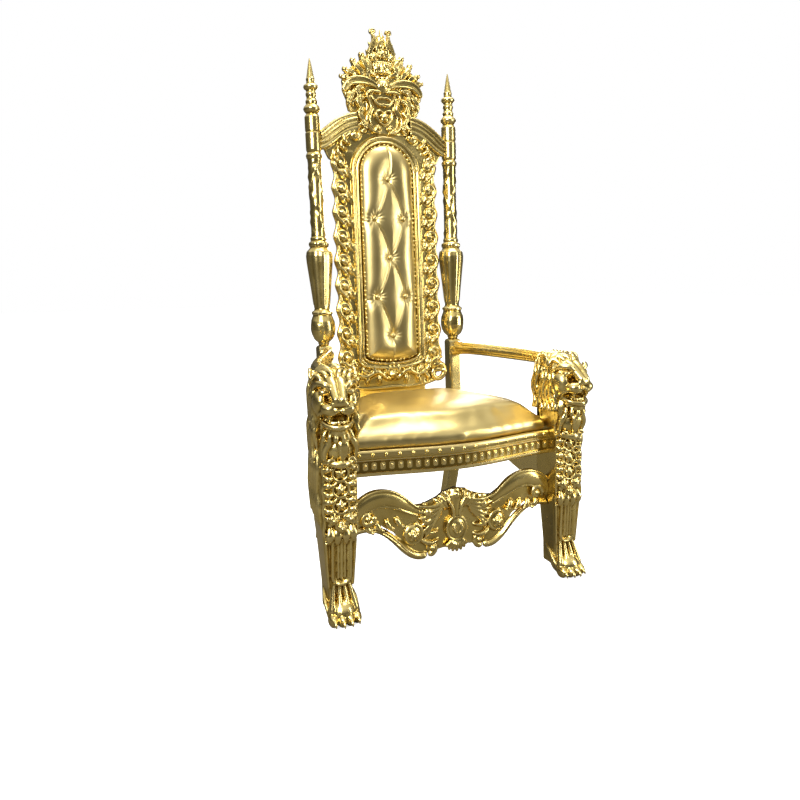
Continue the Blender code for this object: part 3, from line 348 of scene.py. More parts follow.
def add_block(bm, low, high):
    low, high = Vector(low), Vector(high)
    place = Matrix.Translation((low + high) / 2) @ Matrix.Diagonal((*(high - low), 1))
    bmesh.ops.create_cube(bm, size=1, matrix=place)


def skin(bm, rings, loop=False):
    """Faces between rings of points, each ring as long as the next, with flat ends or closed on itself."""
    rows = [[bm.verts.new(point) for point in ring] for ring in rings]
    if loop:
        rows.append(rows[0])
    count = len(rows[0])
    for lower, upper in zip(rows, rows[1:]):
        for i in range(count):
            j = (i + 1) % count
            bm.faces.new((lower[i], lower[j], upper[j], upper[i]))
    if not loop:
        bm.faces.new(rows[0][::-1])
        bm.faces.new(rows[-1])


def heading(points, i):
    """The direction of a polyline at one of its points."""
    return (points[min(i + 1, len(points) - 1)] - points[max(i - 1, 0)]).normalized()


def beside(points, i):
    """The direction across a polyline in the XZ plane at one of its points."""
    ahead = heading(points, i)
    return Vector((-ahead.z, 0, ahead.x))


def oval(centre, half_width, half_height, y=0.0, steps=28):
    """A closed round line that faces -Y."""
    angles = (2 * math.pi * k / steps for k in range(steps + 1))
    return [centre + Vector((half_width * math.cos(a), y, half_height * math.sin(a))) for a in angles]


def curve(*controls, steps=16):
    """Points of a Bezier curve of any degree."""
    found = []
    for k in range(steps + 1):
        level = [Vector(c) for c in controls]
        while len(level) > 1:
            level = [a.lerp(b, k / steps) for a, b in zip(level, level[1:])]
        found.append(level[0])
    return found


def through(*places, steps=6):
    """Points of a smooth curve that passes through the places."""
    places = [Vector(p) for p in places]
    padded = [places[0] * 2 - places[1]] + places + [places[-1] * 2 - places[-2]]
    found = []
    for a, b, c, d in zip(padded, padded[1:], padded[2:], padded[3:]):
        for k in range(steps):
            t = k / steps
            found.append(
                b + (c - a) * (t / 2) + (
                    a * 2 - b * 5 + c * 4 - d
                ) * (t * t / 2) + (b * 3 - a - c * 3 + d) * (t ** 3 / 2)
            )
    return found + [places[-1]]


def volute(centre, radius, start, turns, steps=26, y=0.0, end=0.22):
    """A spiral in the XZ plane that winds in from its radius; the angles are in turns."""
    found = []
    for k in range(steps + 1):
        share = k / steps
        reach = radius * (1 - (1 - end) * share)
        angle = 2 * math.pi * (start + turns * share)
        found.append(Vector((centre[0] + reach * math.cos(angle), y, centre[1] + reach * math.sin(angle))))
    return found


def add_stroke(bm, points, widths, flat=0.8, sides=12):
    """A rounded bar along the points, as half-wide as the widths say; flat is its depth against its width."""
    last = len(points) - 1
    rings = []
    side = None
    for i, point in enumerate(points):
        ahead = heading(points, i)
        if side is None:
            start = Vector((0, 1, 0)) if abs(ahead.y) < 0.9 else Vector((1, 0, 0))
            side = ahead.cross(start).normalized()
        side = (side - ahead * side.dot(ahead)).normalized()
        deep = ahead.cross(side)
        place = i / last * (len(widths) - 1)
        k = min(int(place), len(widths) - 2)
        width = widths[k] + (widths[k + 1] - widths[k]) * (place - k)
        ring = [
            side * width * math.cos(2 * math.pi * s / sides) + deep * width * flat * math.sin(
                2 * math.pi * s / sides
            )
            for s in range(sides)
        ]
        if i == 0:
            rings.append([point + p * 0.5 - ahead * width * 0.75 for p in ring])
        rings.append([point + p for p in ring])
        if i == last:
            rings.append([point + p * 0.5 + ahead * width * 0.75 for p in ring])
    skin(bm, rings)


def add_lines(bm, points, width, spread, count=3, lift=0.0, size=0.0016):
    """Fine raised veins beside each other along a stroke, as a gouge leaves them."""
    for k in range(count):
        share = (k - (count - 1) / 2) / max(1, count - 1) * spread
        vein = []
        for i, point in enumerate(points):
            across = heading(points, i).cross(Vector((0, 1, 0)))
            across = across.normalized() if across.length > 0.1 else Vector((1, 0, 0))
            taper = math.sin(math.pi * (0.12 + 0.8 * i / (len(points) - 1)))
            vein.append(point + across * width * share * taper + Vector((0, -lift, 0)))
        add_stroke(bm, vein, [size * 0.6, size, size * 0.5], 1, 6)


def add_slab(bm, outline, front, back):
    """An outline of (x, z) points, extruded in depth."""
    skin(bm, [[Vector((x, front, z)) for x, z in outline], [Vector((x, back, z)) for x, z in outline]])


def add_rosette(bm, centre, radius, petals=5, swirl=0.25):
    """A rose seen from the front: an outer and an inner whorl of petals with a bead."""
    centre = Vector(centre)
    for ring, (reach, size, rise) in enumerate(((0.66, 0.4, 0.0), (0.32, 0.28, 0.3))):
        for k in range(petals):
            angle = 2 * math.pi * (k + swirl + 0.5 * ring) / petals
            out = Vector((math.cos(angle), 0, math.sin(angle)))
            petal = centre + out * radius * reach + Vector((0, -rise * radius, 0))
            add_ball(bm, petal, (radius * size, radius * size * 0.8, radius * size), 12, 8)
    add_ball(bm, centre + Vector((0, -0.55 * radius, 0)), (radius * 0.2,) * 3, 10, 8)


def add_plume(bm, points, widths, flat=0.9, ribs=3):
    """A long ribbed lobe with a rolled tip."""
    add_stroke(bm, points, widths, flat, 14)
    add_lines(bm, points, max(widths), 1.1, ribs, max(widths) * flat * 0.92, 0.0015)
    end = points[-1] + Vector((0, -widths[-1] * 0.5, 0))
    add_ball(bm, end, (widths[-1] * 1.25, widths[-1] * 1.3, widths[-1] * 1.25), 16, 10)


def carve(name, bm, voxel, triangles):
    """One closed skin round all the shapes, softened and thinned to about that many triangles."""
    obj = make_object(name, bm)
    fuse(obj, voxel)
    soften = obj.modifiers.new("soften", "SMOOTH")
    soften.factor = 0.5
    soften.iterations = 2
    applied(obj)
    thin_to(obj, triangles)
    return obj


def flatten(obj, test, axis, value):
    """Presses the points that the test picks onto a plane, as a plane iron would."""
    for vert in obj.data.vertices:
        if test(vert.co):
            vert.co[axis] = value


# Front legs, in centimetres of the leg, x outward

def cm(x, y, z):
    return Vector((x, y, z)) * LEG_CM


def rounded_square(half_x, front, back, z, round_off=0.3):
    """Twelve points round a square with rounded corners, at height z."""
    middle, half_y = (front + back) / 2, (back - front) / 2
    found = []
    for corner_x, corner_y in ((1, 1), (-1, 1), (-1, -1), (1, -1)):
        short = (corner_x * half_x * (1 - round_off), middle + corner_y * half_y)
        long = (corner_x * half_x, middle + corner_y * half_y * (1 - round_off))
        cut = round_off * 0.3
        mid = (corner_x * half_x * (1 - cut), middle + corner_y * half_y * (1 - cut))
        pair = [long, mid, short] if corner_x * corner_y > 0 else [short, mid, long]
        found += [cm(x, y, z) for x, y in pair]
    return found


def leg_core(bm):
    """The plain post inside the leg: half-width, front and back at each height."""
    sections = (
        (2.5, 3.5, -3.6, 3.7), (9, 3.5, -3.6, 3.9), (21, 4.4, -4.3, 4.6), (26, 4.9, -4.8, 5.2),
        (36, 5.2, -5.0, 5.4), (48, 5.1, -4.6, 5.4), (57, 5.0, -3.6, 5.4), (64, 4.2, -2.0, 5.0),
    )
    skin(bm, [rounded_square(half, front, back, z) for z, half, front, back in sections])


def add_paw(bm):
    """Four knuckled toes with claws, and the tendons that fan out to them."""
    add_ball(bm, cm(0, -3.2, 3.0), cm(4.1, 4.8, 3.6))
    for k in range(4):
        x = (k - 1.5) * 2.15
        reach = -7.2 + abs(x) * 0.35
        add_ball(bm, cm(x, reach, 1.7), cm(1.3, 2.1, 1.75))
        add_ball(bm, cm(x, reach + 1.2, 3.0), cm(1.22, 1.6, 1.45))
        claw = curve(cm(x, reach - 1.7, 2.1), cm(x, reach - 2.9, 1.6), cm(x, reach - 2.7, 0.5), steps=8)
        add_stroke(bm, claw, [0.0048, 0.004, 0.001], 1)
        tendon = curve(cm(x * 0.62, -3.7, 10.6), cm(x * 0.85, -4.3, 7.4), cm(x, reach + 0.6, 3.8), steps=12)
        add_stroke(bm, tendon, [0.0038, 0.0062, 0.0095], 1.1)
    for x in (-1, 1):
        add_stroke(
            bm, curve(cm(x * 3.3, 1.5, 8), cm(x * 4.3, -2, 6), cm(x * 3.9, -5.6, 2.4), steps=10),
            [0.004, 0.008, 0.006],
        )


def shin_face(x, z):
    """The sloping front of the shin."""
    return cm(x, -3.9 - (z - 9) * 0.062, z)


def add_shin_panel(bm):
    """A raised rim with a round foot, and three reeds within it."""
    half, foot, top = 2.5, 12.6, 22.5
    rim = [shin_face(-half, top)]
    rim += [
        shin_face(
            -half * math.cos(a), foot - half * math.sin(a),
        ) for a in (k * math.pi / 16 for k in range(17))
    ]
    rim.append(shin_face(half, top))
    add_stroke(bm, rim, [0.0045, 0.0045], 1.5)
    inner = [
        point + Vector((-0.006 if point.x > 0 else 0.006 if point.x < 0 else 0, 0, 0.003)) for point in rim
    ]
    add_stroke(bm, inner, [0.002, 0.002], 1.2, 8)
    for x in (-0.95, 0, 0.95):
        add_stroke(bm, [shin_face(x, foot - 1.0 + abs(x) * 0.4), shin_face(x, top)], [0.0036, 0.0036], 1.2)
    for way in (-1, 1):
        add_stroke(
            bm, [shin_face(way * 3.4, 9.5) + cm(0, 0.4, 0), shin_face(way * 4.1, 22) + cm(0, 0.4, 0)],
            [0.003, 0.004], 1,
        )


def add_roses(bm):
    """A drooping bib, a cluster of roses, and a column of ringed roses up the leg."""
    for x in (-3.3, -1.15, 1.15, 3.3):
        petal = curve(
            cm(x * 0.85, -4.6, 26), cm(x, -6.3, 24), cm(x, -4.9, 21.9 - 0.5 * (abs(x) < 2)), steps=8,
        )
        add_stroke(bm, petal, [0.008, 0.012, 0.006], 0.6)
        add_lines(bm, petal, 0.007, 1.2, 3, 0.004)
    for x, z, radius in ((-2.3, 28.2, 2.0), (2.3, 28.2, 2.0), (0, 25.8, 1.9)):
        add_rosette(bm, cm(x, -5.3, z), radius * LEG_CM)
    for z in (31.8, 36.1, 40.4):
        add_rosette(bm, cm(0, -5.3, z), 1.45 * LEG_CM)
        add_stroke(bm, oval(cm(0, -5.3, z), 2.15 * LEG_CM, 2.15 * LEG_CM), [0.0036, 0.0036], 1.1, 8)
        for way in (-1, 1):
            for lift in (-1, 1):
                lobe = curve(
                    cm(way * 2.2, -5.1, z + lift * 1.2), cm(way * 3.6, -5.9, z + lift * 1.5),
                    cm(way * 4.1, -4.8, z + lift * 0.7), steps=8,
                )
                add_stroke(bm, lobe, [0.0055, 0.0085, 0.0055], 0.9, 10)
    for way in (-1, 1):
        edge = [cm(way * (4.4 + 0.2 * math.sin(k * 1.1)), -4.5, 24 + k * 0.95) for k in range(21)]
        add_stroke(bm, edge, [0.005, 0.006, 0.005], 0.9, 8)
        for k in range(5):
            y = -3.0 + 1.75 * k
            strand = through(
                cm(way * 5.0, y + 0.5, 46), cm(way * 5.5, y - 0.5, 41), cm(way * 5.35, y + 0.6, 36),
                cm(way * 5.3, y - 0.5, 31), cm(way * 4.9, y + 0.1, 25.5 + 0.5 * k),
            )
            add_stroke(bm, strand, [0.007, 0.0078, 0.0068, 0.006, 0.0025], 0.8, 10)
            add_stroke(
                bm, [p + cm(way * 0.55, 0.25, 0) for p in strand[2:-3]], [0.0015, 0.0022, 0.0015], 1, 6,
            )


def add_chest(bm):
    """The leaf bracket under the chin: a broad keeled leaf between two straps, over a roll."""
    add_ball(bm, cm(0, -2.2, 50), cm(5.0, 4.2, 6.8))
    add_ball(bm, cm(0, -4.4, 46.6), cm(3.9, 3.0, 3.6))
    roll = curve(
        cm(-3.9, -4.9, 43.6), cm(-1.5, -8.0, 42.9), cm(1.5, -8.0, 42.9), cm(3.9, -4.9, 43.6), steps=14,
    )
    add_stroke(bm, roll, [0.007, 0.0105, 0.007], 0.85, 14)
    keel = through(cm(0, -6.2, 51.2), cm(0, -8.3, 48.8), cm(0, -8.0, 46.2), cm(0, -6.9, 44.0))
    add_stroke(bm, keel, [0.006, 0.0165, 0.014, 0.006], 0.55, 16)
    add_lines(bm, keel, 0.014, 1.3, 5, 0.0072, 0.0016)
    for way in (-1, 1):
        strap = through(
            cm(way * 1.2, -6.2, 50.8), cm(way * 3.2, -6.9, 49.0),
            cm(way * 4.3, -6.2, 46.6), cm(way * 3.9, -5.6, 44.4),
        )
        add_stroke(bm, strap, [0.0075, 0.0095, 0.0085, 0.0065], 0.75, 14)
        curl = volute((way * 0.026, 0.437), 0.0105, 0.0 if way > 0 else 0.5, way * 0.9, y=-0.067)
        add_stroke(bm, curl, [0.0045, 0.0035], 1, 10)


def add_face(head):
    """A broad sloping forehead under three pairs of locks, a nose, brows, eyes, round ears and whisker folds."""
    add_ball(head, cm(0, -1.2, 61.4), cm(5.7, 5.6, 6.2), 28, 18)
    slope = through(cm(0, -3.2, 65.0), cm(0, -5.9, 64.0), cm(0, -8.1, 62.0), cm(0, -9.8, 60.3))
    for k, place in enumerate(slope):
        fall = k / (len(slope) - 1)
        for way in (-1, 1):
            ridge = place + Vector((way * (0.0135 - 0.005 * fall), 0, 0))
            add_ball(head, ridge, (0.0165 - 0.004 * fall, 0.014, 0.013), 20, 12)
    add_ball(head, cm(0, -10.3, 59.6), cm(2.15, 0.95, 1.05), 20, 12)
    add_ball(head, cm(0, -6.6, 58.2), cm(3.9, 3.4, 2.2))
    for way in (-1, 1):
        add_ball(head, cm(way * 1.5, -10.2, 59.3), cm(0.95, 0.8, 0.75), 16, 10)
        add_ball(head, cm(way * 2.3, -8.4, 57.9), cm(2.3, 2.4, 1.75))
        add_ball(head, cm(way * 4.0, -4.4, 58.9), cm(2.2, 3.3, 3.6))
        brow = through(
            cm(way * 1.6, -8.3, 62.5), cm(way * 3.2, -7.6, 63.9),
            cm(way * 4.8, -5.6, 64.0), cm(way * 5.6, -3.4, 62.4),
        )
        add_stroke(head, brow, [0.005, 0.0085, 0.008, 0.004], 0.8, 14)
        add_ball(head, cm(way * 3.4, -6.7, 61.9), cm(1.25, 1.0, 0.85), 18, 12)
        for x, z, width in ((0.7, 66.6, 0.0072), (2.2, 66.2, 0.0066), (3.6, 65.4, 0.006)):
            lock = through(
                cm(way * x, -6.0 + 0.3 * x, z - 2.4), cm(way * (x + 0.2), -5.2 + 0.4 * x, z - 0.4),
                cm(way * (x + 1.2), -3.6 + 0.4 * x, z + 0.3), cm(way * (x + 2.2), -3.4 + 0.4 * x, z - 1.0),
            )
            add_stroke(head, lock, [width * 0.6, width, width, width * 0.5], 0.9, 12)
        lid = curve(cm(way * 2.4, -7.4, 61.7), cm(way * 3.6, -7.5, 60.9), cm(way * 4.7, -5.6, 61.6), steps=10)
        add_stroke(head, lid, [0.0015, 0.0026, 0.0015], 1, 8)
        for k in range(3):
            fold = curve(
                cm(way * 4.9, -4.4 + 0.6 * k, 61.0), cm(way * 6.2, -3.9 + 0.8 * k, 59.0 - 0.3 * k),
                cm(way * 5.2, -5.0 + 0.7 * k, 56.8 - 0.6 * k), steps=12,
            )
            add_stroke(head, fold, [0.0018, 0.0034, 0.0018], 1, 8)
        add_ball(head, cm(way * 4.9, 0.4, 64.9), cm(1.1, 1.6, 1.9), 18, 12)
        rim = [
            cm(way * (5.75 - 0.35 * math.cos(a)), 0.2 + 1.75 * math.cos(a), 64.9 + 2.1 * math.sin(a))
            for a in (math.pi * (-0.45 + k / 10) for k in range(18))
        ]
        add_stroke(head, rim, [0.0032, 0.0052, 0.0032], 1, 10)


def add_mouth(head):
    """A roaring mouth: heavy lips, fangs, a row of lower teeth, a tongue, a square chin and a beard."""
    add_ball(head, cm(0, -5.6, 52.6), cm(3.2, 3.4, 1.6))
    add_ball(head, cm(0, -7.6, 51.9), cm(2.2, 2.0, 1.7))
    lip = through(
        cm(-3.9, -4.6, 54.8), cm(-3.1, -7.9, 53.6), cm(0, -9.7, 53.1), cm(3.1, -7.9, 53.6),
        cm(3.9, -4.6, 54.8),
    )
    add_stroke(head, lip, [0.0055, 0.0072, 0.0078, 0.0072, 0.0055], 0.9, 12)
    add_stroke(
        head, curve(cm(0, -4.4, 54.2), cm(0, -7.2, 55.0), cm(0, -8.4, 53.9), steps=8),
        [0.0125, 0.0125, 0.009], 0.5,
    )
    for k in range(7):
        x = (k - 3) * 0.6
        add_ball(head, cm(x, -8.8 + 0.12 * x * x, 54.3), cm(0.27, 0.28, 0.5), 10, 8)
    for way in (-1, 1):
        add_stroke(
            head, [cm(way * 2.5, -8.7, 57.0), cm(way * 2.5, -8.8, 55.7), cm(way * 2.4, -8.6, 54.7)],
            [0.0068, 0.005, 0.0012], 1,
        )
        add_stroke(
            head, [cm(way * 2.3, -7.7, 53.9), cm(way * 2.4, -7.9, 55.3), cm(way * 2.4, -7.8, 56.1)],
            [0.0054, 0.004, 0.001], 1,
        )
        flew = through(
            cm(way * 0.3, -10.0, 57.6), cm(way * 2.1, -9.9, 56.9), cm(way * 3.9, -7.6, 57.0),
            cm(way * 4.6, -5.4, 55.9),
            cm(way * 4.0, -4.2, 54.4),
        )
        add_stroke(head, flew, [0.004, 0.0066, 0.0075, 0.007, 0.0055], 0.95, 12)
        for k in range(3):
            beard = through(
                cm(way * (0.8 + 1.2 * k), -8.6 + 1.1 * k, 51.6),
                cm(way * (1.0 + 1.35 * k), -8.9 + 1.2 * k, 49.8),
                cm(way * (0.5 + 1.2 * k), -7.2 + 1.0 * k, 48.2),
            )
            add_stroke(head, beard, [0.0058, 0.0068, 0.0018], 0.95, 10)


def add_mane(head):
    """Small curls over the crown, and long waving locks that fall from the ears down the neck."""
    for k in range(5):
        y = -1.4 + 1.45 * k
        for way in (-1, 1):
            curl = through(
                cm(way * 0.4, y - 0.8, 66.5), cm(way * 1.7, y, 67.2), cm(way * 3.2, y + 0.9, 66.4),
                cm(way * 4.2, y + 0.4, 65.0),
            )
            add_stroke(head, curl, [0.004, 0.0078, 0.0072, 0.003], 0.85, 10)
            add_stroke(head, [p + cm(0, -0.1, 0.55) for p in curl[3:-3]], [0.0014, 0.0022, 0.0014], 1, 6)
    for way in (-1, 1):
        for k in range(6):
            y = -2.9 + 1.5 * k
            top = 63.6 if k < 4 else 65.4
            for level in range(2):
                high = top - 9.0 * level - 0.8 * (k % 2)
                out = 5.15 + 0.25 * level
                lock = through(
                    cm(way * (out - 0.5), y + 0.3, high), cm(way * (out + 0.35), y - 0.5, high - 3.2),
                    cm(way * (out + 0.3), y + 0.65, high - 6.8), cm(way * (out + 0.25), y - 0.1, high - 10.2),
                    cm(way * (out - 0.5), y - 0.8, high - 12.6),
                )
                add_stroke(head, lock, [0.0052, 0.0088, 0.0092, 0.0075, 0.0025], 0.8, 12)
                for vein in (-0.32, 0.32):
                    add_stroke(
                        head, [p + cm(way * 0.66, vein, 0) for p in lock[3:-3]], [0.0013, 0.002, 0.0013], 1,
                        6,
                    )
        for k in range(3):
            fringe = through(
                cm(way * 4.6, -3.4 - 0.5 * k, 60.5 - 3.2 * k), cm(way * 5.7, -3.9 - 0.3 * k, 58.0 - 3.2 * k),
                cm(way * 5.2, -4.4, 55.2 - 3.2 * k), cm(way * 5.0, -3.9, 53.0 - 3.2 * k),
            )
            add_stroke(head, fringe, [0.0045, 0.0075, 0.0068, 0.002], 0.9, 10)


def front_legs():
    """The right leg and its mirror image, each one skin from paw to head."""
    bm = bmesh.new()
    leg_core(bm)
    add_paw(bm)
    add_shin_panel(bm)
    add_roses(bm)
    add_chest(bm)
    head = bmesh.new()
    add_face(head)
    add_mouth(head)
    add_mane(head)
    bmesh.ops.transform(head, matrix=Matrix.Rotation(math.radians(7), 4, "Z"), verts=head.verts)
    fill_from(bm, head)
    leg = carve("front_leg_right_carved", bm, 0.0018, LEG_TRIANGLES)
    beside_seat = SEAT_TOP + CUSHION_FLANK
    flatten(leg, lambda p: p.z < 0, 2, 0)
    flatten(leg, lambda p: p.x < -LEG_FLAT and SHIN_TOP < p.z < beside_seat, 0, -LEG_FLAT)
    flatten(leg, lambda p: p.y > LEG_FLAT and p.z > SHIN_TOP, 1, LEG_FLAT)
    leg.data.transform(Matrix.Translation((LEG_X, FRONT, 0)))
    mesh = leg.data.copy()
    mesh.transform(Matrix.Diagonal((-1, 1, 1, 1)))
    mesh.flip_normals()
    twin = bpy.data.objects.new("front_leg_left_carved", mesh)
    bpy.context.scene.collection.objects.link(twin)
    finish_piece(leg, GOLD, "carved_gold", "front_leg_right")
    finish_piece(twin, GOLD, "carved_gold", "front_leg_left")


# Rear uprights

def upright_axis(side, z):
    """The middle line of an upright: straight and raked above the seat, splayed back below it."""
    rise = (z - SEAT_TOP) / (POST_HEIGHT - SEAT_TOP)
    x = (POST_SPACING_SEAT + (POST_SPACING_TOP - POST_SPACING_SEAT) * rise) / 2
    y = FRONT + SEAT_DEPTH + (z - SEAT_TOP) * math.tan(BACK_RAKE)
    if z < RAIL_BOTTOM:
        x = POST_SPACING_SEAT / 2
        drop = 1 - z / RAIL_BOTTOM
        y = FRONT + SEAT_DEPTH + (RAIL_BOTTOM - SEAT_TOP) * math.tan(BACK_RAKE) + REAR_LEG_SPLAY * drop ** 1.6
    return Vector((side * x, y, z))


TURNED = (
    (STILE_TOP + 0.004, 0.016), (STILE_TOP + 0.008, 0.0185), (STILE_TOP + 0.014, 0.0185), (0.706, 0.024),
    (0.712, 0.03),
    (0.726, 0.0365), (0.742, 0.0395), (0.758, 0.0395), (0.772, 0.038), (0.786, 0.033), (0.792, 0.0305),
    (0.796, 0.034),
    (0.802, 0.034), (0.807, 0.027), (0.812, 0.025), (0.832, 0.027), (0.87, 0.031), (0.93, 0.0375),
    (0.965, 0.0415),
    (0.985, 0.0425), (1.0, 0.04), (1.01, 0.031), (1.014, 0.0285), (1.018, 0.0315), (1.024, 0.0325),
    (1.03, 0.0305),
    (1.034, 0.025), (1.038, 0.0265), (1.044, 0.0265), (1.048, 0.0235), (1.3, 0.0235), (1.304, 0.0265),
    (1.312, 0.0275),
    (1.318, 0.0245), (1.322, 0.022), (1.328, 0.0255), (1.384, 0.0255), (1.386, 0.0235), (1.389, 0.0235),
    (1.391, 0.0255),
    (1.436, 0.0255), (1.442, 0.0215), (1.447, 0.019), (1.453, 0.025), (1.461, 0.0285), (1.469, 0.025),
    (1.476, 0.018),
    (1.482, 0.0195), (1.488, 0.0195), (1.492, 0.016), (1.5, 0.0155), (1.505, 0.018), (1.511, 0.018),
    (1.516, 0.0155),
    (1.522, 0.0165), (1.526, 0.0225), (1.532, 0.0245), (1.538, 0.0225), (1.542, 0.0145), (1.55, 0.0135),
    (1.555, 0.0145),
    (1.559, 0.0145), (1.563, 0.0125), (1.6, 0.0062), (POST_HEIGHT - 0.004, 0.0022), (POST_HEIGHT, 0.001),
)


def turned_radius(z):
    for (low, near), (high, far) in zip(TURNED, TURNED[1:]):
        if z <= high:
            return near + (far - near) * max(0.0, (z - low) / (high - low))
    return TURNED[-1][1]


def relief(z, angle):
    """How far the carving stands from the turned shape, by height and angle."""
    if VASE_FOOT < z < VASE_TOP:
        swell = min(1, (z - VASE_FOOT) / 0.02, (VASE_TOP - z) / 0.012)
        return 0.0048 * swell * (abs(math.sin(5 * angle)) ** 0.5 - 0.7)
    if BULB_FOOT < z < BULB_TOP:
        swell = math.sin(math.pi * (z - BULB_FOOT) / (BULB_TOP - BULB_FOOT))
        leaf = abs(math.sin(2.5 * angle + 1.4 * math.sin((z - BULB_FOOT) * 36)))
        return 0.0036 * swell * (leaf ** 0.5 - 0.55) + 0.0007 * math.cos(20 * angle)
    if 0.79 < z < 0.806 or 1.014 < z < 1.032:
        return 0.0022 * (abs(math.sin(9 * angle)) ** 0.6 - 0.5)
    if STEM_FOOT < z < STEM_TOP:
        swell = min(1, (z - STEM_FOOT) / 0.012, (STEM_TOP - z) / 0.012)
        climb = 21 * (z - STEM_FOOT)
        stem = math.exp(-(math.sin(angle / 2 + climb / 2) / 0.09) ** 2)
        row = 0.5 + 0.5 * math.sin(170 * (z - STEM_FOOT) + 2 * angle)
        blade = max(0.0, math.sin(3 * angle - 2.2 * climb)) ** 1.5 * row
        return swell * (0.0019 * stem + 0.0026 * blade - 0.0011)
    return 0.0


def ring_round(centre, reach, sides=48):
    """Points round a centre, level, as far out as reach says for their angle."""
    angles = (2 * math.pi * k / sides for k in range(sides))
    return [centre + Vector((math.cos(a), math.sin(a), 0)) * reach(a) for a in angles]


def upright_rings(side):
    """The square leg and stile, then the turned and carved post, from the floor up."""
    rings = []
    for z in [RAIL_BOTTOM * k / 24 for k in range(25)] + [SEAT_TOP, STILE_TOP - 0.006, STILE_TOP]:
        size = REAR_LEG_SIZE / 2 * (0.86 + 0.14 * min(1, z / RAIL_BOTTOM)) * (0.86 if z == STILE_TOP else 1)
        rings.append(ring_round(
            upright_axis(side, z),
            lambda a: size / (abs(math.cos(a)) ** 14 + abs(math.sin(a)) ** 14) ** (1 / 14),
        ))
    z = TURNED[0][0]
    levels = []
    while z < POST_HEIGHT:
        levels.append(z)
        z += 0.0026
    for z in levels + [POST_HEIGHT]:
        radius = turned_radius(z)
        rings.append(ring_round(upright_axis(side, z), lambda a: max(0.001, radius + relief(z, a * side))))
    return rings


def rear_uprights():
    for name, side in (("left", -1), ("right", 1)):
        bm = bmesh.new()
        skin(bm, upright_rings(side))
        post = make_object(f"rear_upright_{name}_carved", bm)
        finish_piece(post, GOLD, "carved_gold", f"rear_upright_{name}")
        keep_edges_crisp(post)


def keep_edges_crisp(obj, degrees=38):
    obj.data.shade_smooth()
    obj.data.set_sharp_from_angle(angle=math.radians(degrees))


# Arms

def arms():
    """Moulded rails that sweep outward from the uprights to the backs of the heads."""
    steps, sides = 60, 48
    for name, side in (("left", -1), ("right", 1)):
        back = upright_axis(side, ARM_CENTRE_BACK)
        back_face = upright_axis(side, ARM_CENTRE_BACK - ARM_DIAMETER).y - REAR_LEG_SIZE / 2 - CLEARANCE
        front_face = FRONT + LEG_FLAT + CLEARANCE
        start = Vector((back.x, back_face, ARM_CENTRE_BACK))
        end = Vector((side * LEG_X, front_face, ARM_CENTRE_FRONT))
        line = curve(
            start, start + Vector((side * 0.01, -0.1, 0.012)),
            start.lerp(end, 0.5) + Vector((side * 0.04, 0, -0.004)),
            end + Vector((side * 0.012, 0.1, 0.004)), end, steps=steps,
        )
        rings = []
        for i, point in enumerate(line):
            ahead = Vector((0, -1, 0)) if i in (0, steps) else heading(line, i)
            across = ahead.cross(Vector((0, 0, 1))).normalized()
            upward = across.cross(ahead)
            swell = ARM_DIAMETER / 2 * (1.0 + 0.22 * max(0, 1 - i / (steps / 6)) ** 2)
            ring = []
            for k in range(sides):
                angle = 2 * math.pi * k / sides
                groove = sum(math.exp(-((angle - at) / 0.09) ** 2) for at in (0.62, 2.52, 3.5, 5.92))
                reach = swell * (0.96 - 0.1 * groove + 0.05 * max(0, math.sin(angle)))
                ring.append(point + across * reach * math.cos(angle) + upward * reach * math.sin(angle))
            rings.append(ring)
        bm = bmesh.new()
        skin(bm, rings)
        rail = make_object(f"arm_{name}_moulded", bm)
        finish_piece(rail, GOLD, "carved_gold", f"arm_{name}")
        keep_edges_crisp(rail, 50)


# Front rail

def bow(x):
    """How far the serpentine front stands forward at x."""
    share = min(1, abs(x) / (LEG_X - LEG_FLAT))
    return FRONT_BOW * (0.5 + 0.5 * math.cos(math.pi * share)) ** 0.8


def rail_face(x):
    """The y of the front rail's face at x."""
    return FRONT - bow(x) - 0.012


def along_rail(section, steps=120):
    """One skin through the section that is given for each x of the front rail."""
    bm = bmesh.new()
    skin(bm, [section(-RAIL_REACH + 2 * RAIL_REACH * k / steps) for k in range(steps + 1)])
    return bm


def front_rail():
    """The bowed rail with its mouldings and a row of dentils."""
    profile = (
        (0.0, -0.003), (0.002, -0.0005), (0.006, 0.0005), (0.0105, 0.0), (0.0115, -0.0025), (0.0155, -0.0032),
        (0.0405, -0.0032), (0.0415, -0.001), (0.0435, 0.0012), (0.0465, 0.0012), (0.048, -0.0008),
        (0.068, -0.001),
    )

    def section(x):
        front = rail_face(x)
        back = [Vector((x, front + RAIL_THICKNESS, z)) for z in (SEAT_TOP, RAIL_BOTTOM)]
        return [Vector((x, front - out, RAIL_BOTTOM + z)) for z, out in profile] + back

    bm = along_rail(section)
    pitch = 2 * RAIL_REACH / DENTIL_COUNT
    for k in range(DENTIL_COUNT):
        x = -RAIL_REACH + pitch * (k + 0.5)
        slope = (bow(x + 0.002) - bow(x - 0.002)) / 0.004
        block = bmesh.new()
        add_block(block, (-pitch * 0.3, -0.0005, -0.0105), (pitch * 0.3, 0.009, 0.0105))
        bmesh.ops.bevel(block, geom=block.edges[:], offset=0.0022, segments=2, affect="EDGES")
        add_ball(block, Vector((0, -0.0008, 0)), (pitch * 0.13, 0.0016, 0.006), 10, 8)
        place = Matrix.Translation(
            (x, rail_face(x), RAIL_BOTTOM + 0.028)
        ) @ Matrix.Rotation(math.atan(-slope), 4, "Z")
        bmesh.ops.transform(block, matrix=place, verts=block.verts)
        fill_from(bm, block)
    rail = make_object("seat_front_rail_moulded", bm)
    finish_piece(rail, GOLD, "carved_gold", "seat_front_rail")
    keep_edges_crisp(rail)


